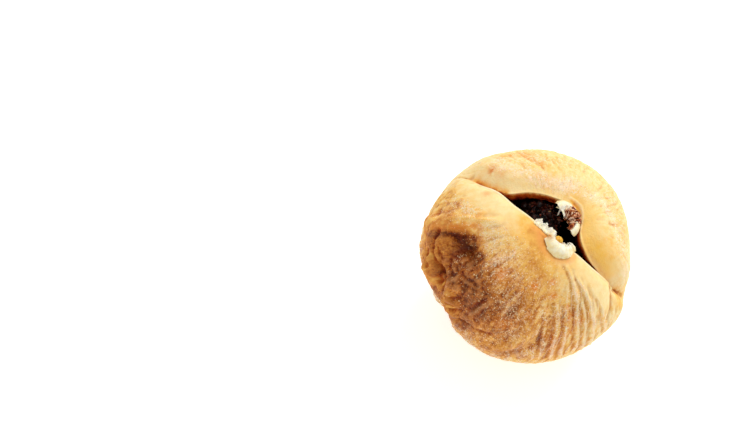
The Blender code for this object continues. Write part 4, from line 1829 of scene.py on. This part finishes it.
@dataclass(frozen=True)
class EyeHalf:
    """Papery scales that run from a rim in towards the middle of the eye.

    The half's middle and its stain are at a turn in degrees and an offset in millimetres.
    """

    half: Half
    turn: float
    offset: float
    petals: tuple[Petal, ...]
    columns: int = 40
    rows: int = 32
    thickness: float = 0.09
    burn_depth: float = 0.6
    stain_turn: float = -3.9
    stain_offset: float = -2.7
    stain_reach: float = 0.42
    stain_depth: float = 1.15

    def ground(self, form: FigForm, turn: Array, offset: Array) -> Array:
        """The skin under the scales, on this half's side of the mouth.

        Args:
            form: The fig's shape.
            turn: Round the split plane, in radians.
            offset: Out of that plane, in millimetres along the skin.

        Returns:
            How far it lies from the fig's centre, in millimetres.
        """
        if self.half is Half.FAR:
            offset = np.maximum(offset, form.mouth(np.degrees(turn))[0] + 0.05)
        return form.radius(from_split(turn, offset / form.mean_radius))

    def stain(self, form: FigForm, turn: Array, offset: Array) -> Array:
        """How far the drop that dried on the near paper colours it, by turn in radians and offset."""
        away = np.hypot((turn - math.radians(self.stain_turn)) * form.mean_radius, offset - self.stain_offset)
        return np.minimum(1, self.stain_depth * bell(away, self.stain_reach))

    def scale(self, number: int, form: FigForm, material: Material) -> Object:
        """One cupped scale with a ragged tip.

        Args:
            number: Which of the half's scales.
            form: The fig's shape.
            material: The paper's finish.

        Returns:
            The piece.
        """
        petal = self.petals[number]
        made = new_grid(self.columns, self.rows)
        across, along, _ = vertices_of(made.data).T
        level = 0 * across
        seed = 20 + number + (0 if self.half is Half.NEAR else 40)
        line = np.column_stack([across, level, level])
        wave = np.abs(((across * 1.6 + 0.37 * seed) % 1) * 2 - 1)
        notch = 0.65 * wave + 0.6 * np.abs(grain(line, 0.28, 2, seed))
        forward = (along + 1) / 2
        forward = forward * (1 - petal.teeth * notch * forward**2)
        sides = np.column_stack([forward * 2, np.sign(across), level])
        side_fray = 1 + 0.1 * grain(sides, 0.3, 2, seed + 9)
        spread = math.radians(petal.spread) * (1 + 0.3 * np.sin(math.pi * forward)) * side_fray
        angle = math.radians(petal.bearing) + across * spread * np.sqrt(1 - 0.5 * forward**5)
        reach = petal.root + forward * (petal.tip - petal.root)
        reach = reach + 0.12 * grain(line, 0.6, 2, seed + 3) * (1 - forward)
        turn = math.radians(self.turn) + reach * np.cos(angle) / form.mean_radius
        offset = self.offset + reach * np.sin(angle)
        place = np.column_stack([across * 2.2, forward * 1.5, level])
        waves = grain(place, 0.55, 2, seed + 5) + 0.35 * np.sin(across * 9 + seed + 2 * forward)
        bulge = petal.dome * np.sin(math.pi * np.clip(forward * 0.9, 0, 1))
        height = petal.lift + bulge + petal.rise * forward**2
        height += petal.cup * across**2 * (0.3 + 0.7 * forward) + petal.ripple * waves * (0.25 + forward)
        direction = from_split(turn, offset / form.mean_radius)
        places = direction * (self.ground(form, turn, offset) + height)[:, None]
        move_vertices(made.data, form.lay_down(places))
        burnt = petal.burn * between(forward, 0.45, 0.75)
        paint(
            made.data,
            across=across,
            along=forward,
            number=np.full(len(across), float(seed)),
            burnt=self.burn_depth * burnt,
            stain=self.stain(form, turn, offset),
            age=np.clip(petal.age + burnt + 0.25 * grain(place, 0.7, 2, seed + 8), 0, 1),
        )
        self.thicken(made)
        name = f"{self.half.value}_eye_scale_{number + 1}"
        return finish_piece(made, f"papery_{name}", material, [name])

    def thicken(self, made: Object) -> None:
        """Gives a sheet its thickness.

        Args:
            made: The sheet.
        """
        plate = made.modifiers.new("plate", "SOLIDIFY")
        plate.thickness = self.thickness * MM
        plate.offset = 0
        pick(made)
        bpy.ops.object.modifier_apply(modifier=plate.name)

    def build(self, form: FigForm, material: Material) -> list[Object]:
        """All the scales of this half."""
        return [self.scale(number, form, material) for number in range(len(self.petals))]


@dataclass(frozen=True)
class LipFringe:
    """The torn edge of the eye's paper that is left along the near lip."""

    turn_from: float = -16.0
    turn_to: float = -2.5
    width: float = 0.6
    overhang: float = 0.7
    columns: int = 100
    rows: int = 24

    def build(self, form: FigForm, half: EyeHalf, material: Material) -> Object:
        """Models and dresses the piece.

        Args:
            form: The fig's shape.
            half: The half of the eye that it grows out of, for its thickness.
            material: The paper's finish.

        Returns:
            The piece.
        """
        made = new_grid(self.columns, self.rows)
        along, across, _ = vertices_of(made.data).T
        inward = (across + 1) / 2
        turn = self.turn_from + (along + 1) / 2 * (self.turn_to - self.turn_from)
        middle, gap = form.mouth(turn)
        line = np.column_stack([turn / 4, 0 * turn, 0 * turn])
        teeth = np.abs(((turn * 0.27) % 1) * 2 - 1) * 0.7 + np.abs(grain(line, 0.2, 2, 31)) * 0.6
        out = self.width * (0.8 + 0.6 * grain(line, 0.8, 2, 33)) * between(turn, -21, -14)
        reach_in = (self.overhang * (1 - teeth) + 0.05) * between(np.abs(along), 1.05, 0.85)
        offset = middle - gap - out * (1 - inward) + reach_in * inward**2
        place = np.column_stack([turn / 4, inward, 0 * turn])
        waves = grain(place, 0.35, 3, 35)
        height = 0.05 + 0.16 * np.sin(math.pi * np.minimum(inward, 0.7))
        height = height + 0.3 * inward**3 + 0.09 * waves
        height *= between(np.abs(along), 1.1, 0.8)
        radians = np.radians(turn)
        direction = from_split(radians, offset / form.mean_radius)
        ground = form.radius(from_split(radians, np.minimum(offset, middle - 0.1) / form.mean_radius))
        move_vertices(made.data, form.lay_down(direction * (ground + height)[:, None]))
        paint(
            made.data,
            across=along * 5,
            along=inward,
            number=np.full(len(turn), 77.0),
            stain=half.stain(form, radians, offset),
            age=np.clip(0.05 + 0.15 * waves, 0, 1),
        )
        half.thicken(made)
        return finish_piece(made, "near_lip_fringe", material)


@dataclass(frozen=True)
class Shreds:
    """Curled strips of old scale that cross the far half of the eye; the first is rolled up to a rope.

    The rope starts at a bearing in degrees and swings by a number of radians.
    """

    number: int = 8
    steps: int = 14
    root: float = 2.75
    ages: tuple[float, ...] = (0.15, 0.9, 1.0, 1.0)
    rope_bearing: float = 150.0
    rope_swing: float = -0.35
    rope_root: float = 2.3
    rope_length: float = 1.6
    rope_lift: float = 0.15
    rope_arch: float = 0.25
    rope_width: float = 0.24
    rope_lean: float = 0.2

    def build(self, form: FigForm, half: EyeHalf, material: Material) -> Object:
        """Models and dresses all the strips as one piece.

        Args:
            form: The fig's shape.
            half: The half of the eye that they hang in, for their middle, the ground and their thickness.
            material: The paper's finish.

        Returns:
            The piece.
        """
        rng = np.random.default_rng(5)
        places, faces, along, age = [], [], [], []
        share = np.linspace(0, 1, self.steps)
        for number in range(self.number):
            bearing = math.radians(rng.uniform(25, 125))
            swing, curl = rng.uniform(-1.3, 1.3), rng.uniform(0.2, 0.6)
            angle = bearing + swing * share**1.5
            reach = self.root - share * rng.uniform(0.9, 1.8)
            lift = rng.uniform(-0.5, 0.1)
            height = lift + curl * np.sin(math.pi * share * rng.uniform(0.8, 1.4)) - 0.5 * share**2
            width = rng.uniform(0.09, 0.22) * (1 - 0.6 * share**2)
            lean = rng.uniform(-1, 1)
            if number == 0:
                angle = math.radians(self.rope_bearing) + self.rope_swing * share
                reach = self.rope_root - self.rope_length * share
                height = self.rope_lift + self.rope_arch * np.sin(math.pi * share)
                width = self.rope_width * (1 - 0.5 * share**2)
                lean = self.rope_lean
            for side in (-1, 0, 1):
                turned = angle + side * width / np.maximum(0.4, reach)
                turn = math.radians(half.turn) + reach * np.cos(turned) / form.mean_radius
                offset = half.offset + reach * np.sin(turned)
                up = height + side * width * lean - 0.04 * abs(side)
                direction = from_split(turn, offset / form.mean_radius)
                places.append(direction * (half.ground(form, turn, offset) + up)[:, None])
                along.append(share)
                age.append(np.full(self.steps, rng.choice(self.ages) if side < 0 else age[-1][0]))
            first = number * 3 * self.steps
            for step in range(self.steps - 1):
                for side in (0, 1):
                    corner = first + side * self.steps + step
                    faces.append([corner, corner + self.steps, corner + self.steps + 1, corner + 1])
        made = mesh_object("shreds", form.lay_down(np.concatenate(places)), np.array(faces))
        paint(
            made.data,
            along=np.concatenate(along),
            age=np.concatenate(age),
            across=np.tile(np.repeat([-0.3, 0.0, 0.3], self.steps), self.number),
            number=np.repeat(np.arange(self.number), 3 * self.steps),
        )
        half.thicken(made)
        return finish_piece(made, "far_eye_shreds", material)


# ---- what is in the hollow


@dataclass(frozen=True)
class Pulp:
    """The mass of dried florets: one lumpy bed, with single florets that stand out of it."""

    turn: float = -17
    reach: float = 22.5
    offset: float = 0.8
    half_width: float = 2.7
    out: float = 6.8
    half_height: float = 1.75
    rise: float = 0.7
    florets: int = 220
    floret_size: Place = (0.17, 0.17, 0.42)
    far_boost: float = 0.15

    def place(self, unit: Array) -> Array:
        """Where points of a unit ball lie in the hollow.

        Args:
            unit: Rows of x, y and z.

        Returns:
            Rows in the growing frame, in millimetres.
        """
        along, across, out = unit.T
        reach = self.out + self.half_height * out + self.rise * across
        return in_mouth(self.turn + self.reach * along, self.offset + self.half_width * across, reach)

    def build(self, form: FigForm) -> list[Object]:
        """Models and dresses the bed and its florets.

        Args:
            form: The fig's shape.

        Returns:
            The bed and the florets.
        """
        material = PulpFinish().build()
        deselect()
        bpy.ops.mesh.primitive_ico_sphere_add(subdivisions=6, radius=1)
        bed = bpy.context.object
        unit = vertices_of(bed.data)
        places = self.place(unit)
        cells = np.array([noise.voronoi(Vector(p) / 0.75)[0][0] for p in places])
        lumps = 0.3 * (0.45 - cells) + 0.4 * grain(places, 1.3, 2, 12)
        move_vertices(bed.data, form.lay_down(places + unit * lumps[:, None]))
        paint(bed.data, crest=np.clip(1.0 - 1.6 * cells, 0, 1))
        pieces = [finish_piece(bed, "pulp_bed", material, ["pulp"])]
        pieces.append(self.scatter_florets(form, material))
        return pieces

    def scatter_florets(self, form: FigForm, material: Material) -> Object:
        """Small drops that stand out of the bed and cling to the far wall.

        Args:
            form: The fig's shape.
            material: The pulp's finish.

        Returns:
            The piece.
        """
        rng = np.random.default_rng(7)
        deselect()
        bpy.ops.mesh.primitive_ico_sphere_add(subdivisions=2, radius=1)
        drop = bpy.context.object
        shape = vertices_of(drop.data) * np.array(self.floret_size)
        corners = corners_of(drop.data.polygons, 3)
        bpy.data.objects.remove(drop)
        places, faces, crests = [], [], []
        for number in range(self.florets):
            along, across = rng.uniform(-0.85, 0.85), rng.uniform(-0.8, 0.95)
            up = math.sqrt(max(0.0, 1 - along**2 - across**2))
            at = self.place(np.array([[along, across, up]]))[0]
            if up == 0 or number % 9 == 0:
                continue
            turned = np.array(Euler(rng.uniform(-0.9, 0.9, 3)).to_matrix())
            size = rng.uniform(0.7, 1.25)
            places.append(at + size * shape @ turned.T)
            faces.append(corners + len(shape) * (len(places) - 1))
            paler = self.far_boost if along > 0.0 and across > 0.0 and number % 2 else 0.0
            crests.append(rng.uniform(0.2, 0.85) + paler)
        made = mesh_object("florets", form.lay_down(np.concatenate(places)), np.concatenate(faces))
        paint(made.data, crest=np.repeat(crests, len(shape)))
        return finish_piece(made, "pulp_florets", material)


@dataclass(frozen=True)
class Seeds:
    """The seeds that show on the pulp, each a smooth drop with a ridge along one side.

    A place is a turn, an offset and a reach; film says how far each seed is darkened, partly as a sticky
    coat and partly as painted shade.
    """

    half: Place = (0.62, 0.48, 0.4)
    places: tuple[Place, ...] = (
        (-32, 1.2, 9.0), (-22, 1.9, 9.4), (-12, 1.4, 9.4), (-20, 0.1, 9.1), (-6, -0.5, 8.8),
    )
    film: tuple[float, ...] = (1.5, 1.8, 1.35, 1.9, 1.9)
    eye_turn: float = 1.2
    eye_offset: float = -2.25
    eye_lift: float = 0.75
    eye_size: float = 0.82

    def build(self, form: FigForm) -> list[Object]:
        """Models and dresses all the seeds.

        Args:
            form: The fig's shape.

        Returns:
            The seeds on the pulp, then the one in the eye.
        """
        material = SeedFinish().build()
        made = [self.seed(number, form, material) for number in range(len(self.places))]
        return made + [self.eye_seed(form, material)]

    def seed(self, number: int, form: FigForm, material: Material) -> Object:
        """One seed on the pulp.

        Args:
            number: Which of the places.
            form: The fig's shape.
            material: The seeds' finish.

        Returns:
            The piece.
        """
        made = new_ball(36, 24)
        unit = vertices_of(made.data)
        x, y, z = unit.T
        narrow = 1 - 0.28 * between(x, -0.2, 1.0)
        ridge = 1 + 0.07 * bell(np.arctan2(y, z), 0.22)
        shape = np.column_stack([x, y * narrow * ridge, z * narrow * ridge]) * np.array(self.half)
        turn, offset, _ = self.places[number]
        lean = Euler((math.radians(20 * offset), math.radians(turn), math.radians(3 * turn)))
        at = in_mouth(*(np.array([value]) for value in self.places[number]))[0]
        stuck = 1 - 0.16 * np.abs(grain(shape, 0.34, 3, 50 + number))
        stuck = stuck - 0.05 * bell(grain(shape, 0.2, 1, 60), 0.2)
        turned = (shape * stuck[:, None]) @ np.array(lean.to_matrix()).T
        move_vertices(made.data, form.lay_down(turned + at))
        # Painted shade: each seed is darker on the side that faces into the fig than on the side that faces out
        # of the mouth.
        out = turned @ (at / np.linalg.norm(at)) / max(self.half)
        paint(made.data, film=np.clip(self.film[number] - out, 0, 1))
        return finish_piece(made, f"seed_coat_{number + 1}", material, [f"seed_{number + 1}"])

    def eye_seed(self, form: FigForm, material: Material) -> Object:
        """The clean seed that has stuck to the near scales.

        Args:
            form: The fig's shape.
            material: The seeds' finish.

        Returns:
            The piece.
        """
        made = new_ball(32, 20)
        shape = vertices_of(made.data) * np.array(self.half) * self.eye_size
        turn = math.radians(self.eye_turn)
        direction = from_split(np.array([turn]), np.array([self.eye_offset / form.mean_radius]))
        at = direction[0] * (form.radius(direction)[0] + self.eye_lift)
        move_vertices(made.data, form.lay_down(shape + at))
        paint(made.data, film=np.zeros(len(shape)))
        return finish_piece(made, "eye_seed", material)


@dataclass(frozen=True)
class Stalk:
    """The dried stub of the stalk: a fibrous peg that curls up to its cut end."""

    seat: float = 0.65
    length: float = 1.8
    radii: tuple[float, ...] = (1.1, 0.9, 0.7, 0.76, 0.84)
    curl: float = 0.5
    cap: float = 0.16

    def build(self, form: FigForm) -> Object:
        """Models and dresses the piece.

        Args:
            form: The fig's shape.

        Returns:
            The piece.
        """
        made = new_ball(96, 64)
        unit = vertices_of(made.data)
        side = np.arctan2(unit[:, 1], unit[:, 0])
        down = np.arccos(np.clip(-unit[:, 2], -1, 1)) / math.pi
        share = np.clip((down - self.cap) / (1 - 2 * self.cap), 0, 1)
        out = np.minimum(1, np.minimum(down, 1 - down) / self.cap)
        ribs = 0.05 * np.sin(9 * side + 2 * share) + 0.03 * np.sin(17 * side - 3 * share)
        radius = np.interp(share, np.linspace(0, 1, len(self.radii)), self.radii) * (1 + ribs * out)
        rough = grain(np.column_stack([np.cos(side) * 4, np.sin(side) * 4, share]), 0.8, 2, 14)
        radius = radius * np.sqrt(np.clip(out, 0, 1)) * (1 + 0.04 * rough)
        stem = Vector(form.stem)
        aside = stem.orthogonal().normalized()
        across = stem.cross(aside)
        up = form.table_matrix().to_3x3().inverted() @ Vector((0, 0, 1))
        foot = form.stem * (form.radius(form.stem[None])[0] + self.seat)
        end = np.where(down > 1 - self.cap, 0.12 * (1 - out) * rough - 0.1 * (1 - out), 0)
        spine = foot + np.outer(share * self.length + end, form.stem)
        spine = spine + np.outer(self.curl * share**2, np.array(up))
        places = spine + np.outer(radius * np.cos(side), np.array(aside))
        places = places + np.outer(radius * np.sin(side), np.array(across))
        move_vertices(made.data, form.lay_down(places))
        paint(made.data, along=down, round_x=np.cos(side), round_y=np.sin(side))
        in_edit_mode(made, face_outwards)
        return finish_piece(made, "stalk_stub", WoodFinish().build(), ["stalk"])


# ---- the sugar bloom


@dataclass(frozen=True)
class SugarGrains:
    """Small crystals of sugar that sit on the skin where the bloom is, most of them of the smaller sizes."""

    number: int = 10000
    smallest: float = 0.016
    largest: float = 0.078
    fineness: float = 2.2
    frost_share: float = 0.15
    faces: tuple[tuple[int, int, int], ...] = (
        (0, 1, 4), (1, 2, 4), (2, 3, 4), (3, 0, 4), (1, 0, 5), (2, 1, 5), (3, 2, 5), (0, 3, 5),
    )

    def build(self, skin: Object) -> Object:
        """Sets eight-faced crystals on the skin, more of them where its bloom is thick.

        Args:
            skin: The skin's piece, with its bloom and frost painted on it.

        Returns:
            All the crystals as one piece.
        """
        rng = np.random.default_rng(21)
        mesh = skin.data
        mesh.calc_loop_triangles()
        corners = corners_of(mesh.loop_triangles, 3)
        places = vertices_of(mesh)
        a, b, c = (places[corners[:, n]] for n in range(3))
        normal = np.cross(b - a, c - a)
        area = np.linalg.norm(normal, axis=1)
        normal /= np.maximum(area, 1e-12)[:, None]
        clear = places[corners, 2].min(1) > 0.3 * MM
        sugary = (read(mesh, "bloom") + self.frost_share * read(mesh, "frost")) * read(mesh, "gritty")
        weight = clear * area * sugary[corners].mean(1) ** 2
        chosen = rng.choice(len(corners), self.number, p=weight / weight.sum())
        u, v = rng.random((2, self.number))
        flip = u + v > 1
        u, v = np.where(flip, 1 - u, u), np.where(flip, 1 - v, v)
        at = a[chosen] + u[:, None] * (b - a)[chosen] + v[:, None] * (c - a)[chosen]
        growth = rng.random(self.number) ** self.fineness
        size = (self.smallest + (self.largest - self.smallest) * growth) * MM
        out = normal[chosen]
        aside = np.cross(out, rng.normal(size=(self.number, 3)))
        aside /= np.linalg.norm(aside, axis=1, keepdims=True)
        across = np.cross(out, aside)
        stretch = rng.uniform(0.6, 1.5, (self.number, 6))
        ways = (aside, across, -aside, -across, out, -out)
        points = np.stack([at + way * (size * stretch[:, n])[:, None] for n, way in enumerate(ways)], 1)
        faces = np.array(self.faces)[None] + 6 * np.arange(self.number)[:, None, None]
        made = mesh_object("sugar", points.reshape(-1, 3), faces.reshape(-1, 3))
        return finish_piece(made, "sugar_grains", SugarFinish().build())


# ---- the studio


@dataclass(frozen=True)
class Lamp:
    """One large soft lamp, aimed at the fig."""

    name: str
    place: Place
    power: float
    size: float
    shade: str = "FFFFFF"
    aim: Place = (0, 0, 0.01)

    def build(self) -> None:
        """Sets it up."""
        lamp = bpy.data.lights.new(self.name, "AREA")
        lamp.energy = self.power
        lamp.size = self.size
        lamp.color = linear(self.shade)[:3]
        holder = bpy.data.objects.new(self.name, lamp)
        bpy.context.scene.collection.objects.link(holder)
        holder.location = self.place
        way = Vector(self.aim) - Vector(self.place)
        holder.rotation_euler = way.to_track_quat("-Z", "Y").to_euler()


@dataclass(frozen=True)
class Studio:
    """A plain white table, soft light and the camera."""

    lamps: tuple[Lamp, ...] = (
        Lamp("key_light", (0.2, 0.24, 0.34), 1.48, 0.22, "FFFAF2"),
        Lamp("fill_light", (-0.35, -0.25, 0.35), 0.5, 0.5),
    )
    sky: float = 0.62
    sensor: float = 36
    nearest: float = 0.005
    elevation: float = 60.0
    distance: float = 0.2556
    lens: float = 100.0
    target: Place = (-0.01835, 0.00467, 0.0135)
    floor_size: float = 6.0

    def table(self) -> None:
        """The table that the fig lies on."""
        deselect()
        bpy.ops.mesh.primitive_plane_add(size=self.floor_size)
        top = bpy.context.object
        top.name = "table_top"
        top.data.materials.append(TableFinish().build())
        top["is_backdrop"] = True

    def camera(self) -> None:
        """The camera, at its height over the table and looking along +Y."""
        lens = bpy.data.cameras.new("camera")
        lens.lens = self.lens
        lens.sensor_width = self.sensor
        lens.clip_start = self.nearest
        holder = bpy.data.objects.new("camera", lens)
        bpy.context.scene.collection.objects.link(holder)
        tilt = math.radians(self.elevation)
        back = Vector((0, -math.cos(tilt), math.sin(tilt)))
        holder.location = Vector(self.target) + back * self.distance
        holder.rotation_euler = (-back).to_track_quat("-Z", "Y").to_euler()
        bpy.context.scene.camera = holder

    def build(self) -> None:
        """Sets it all up."""
        self.table()
        for lamp in self.lamps:
            lamp.build()
        world = bpy.data.worlds.new("studio")
        world.use_nodes = True
        background = world.node_tree.nodes["Background"]
        background.inputs["Color"].default_value = (1, 1, 1, 1)
        background.inputs["Strength"].default_value = self.sky
        bpy.context.scene.world = world
        bpy.context.scene.view_settings.view_transform = "Standard"
        self.camera()


def near_half() -> EyeHalf:
    """The near scales: a rounded cream half disc whose frayed tips stand up over the mouth.

    Returns:
        The half.
    """
    petals = (
        Petal(-162, 21, 1.95, 0.9, 0.1, 0.34, 0.35, 0.0, 0.08, 0.4, 0.06),
        Petal(-121, 21, 2.42, 0.42, 0.12, 0.42, 0.3, 0.0, 0.07, 0.32, 0.02),
        Petal(-90, 25, 2.55, 0.35, 0.11, 0.46, 0.25, 0.0, 0.07, 0.3, 0.00),
        Petal(-52, 24, 2.45, 0.38, 0.12, 0.42, 0.45, 0.0, 0.08, 0.34, 0.04),
        Petal(-16, 22, 2.3, 0.62, 0.1, 0.36, 0.7, 0.0, 0.09, 0.45, 0.02),
    )
    return EyeHalf(Half.NEAR, 3.0, -1.75, petals)


def far_half() -> EyeHalf:
    """The far scales: curled cream flaps at both ends, and old brown ribbed ones between them.

    Returns:
        The half.
    """
    petals = (
        Petal(8, 30, 2.42, 0.85, 0.1, 0.5, -0.4, -0.35, 0.08, 0.1, 0.02, 0.95),
        Petal(52, 19, 2.65, 0.6, 0.00, 0.5, -0.6, 0.25, 0.28, 0.2, 0.95),
        Petal(80, 21, 2.85, 0.5, 0.05, 0.6, -0.6, 0.3, 0.3, 0.2, 1.00),
        Petal(104, 18, 2.95, 0.7, 0.05, 0.6, -0.55, 0.2, 0.3, 0.2, 0.95),
        Petal(126, 21, 3.05, 1.35, 0.26, 0.6, -0.25, -0.35, 0.08, 0.14, 0.00),
    )
    return EyeHalf(Half.FAR, -1.0, 1.2, petals)


def main() -> None:
    """Builds the fig piece by piece, then the studio round it, and logs both sizes."""
    logging.basicConfig(level=logging.INFO, format="%(message)s")
    form = FigForm()
    skin = SkinAndFlesh(form).build()
    SugarGrains().build(skin)
    paper = PaperFinish().build()
    near, far = near_half(), far_half()
    near.build(form, paper)
    far.build(form, paper)
    LipFringe().build(form, near, paper)
    Shreds().build(form, far, paper)
    Pulp().build(form)
    Seeds().build(form)
    Stalk().build(form)
    Studio().build()
    sizes = {"cad": [list(corner) for corner in CAD_BOX], "visual": [list(corner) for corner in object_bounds()]}
    for row in sizes.values():
        log.info("box %s", [[round(value / MM, 2) for value in corner] for corner in row])


if __name__ == "__main__":
    main()
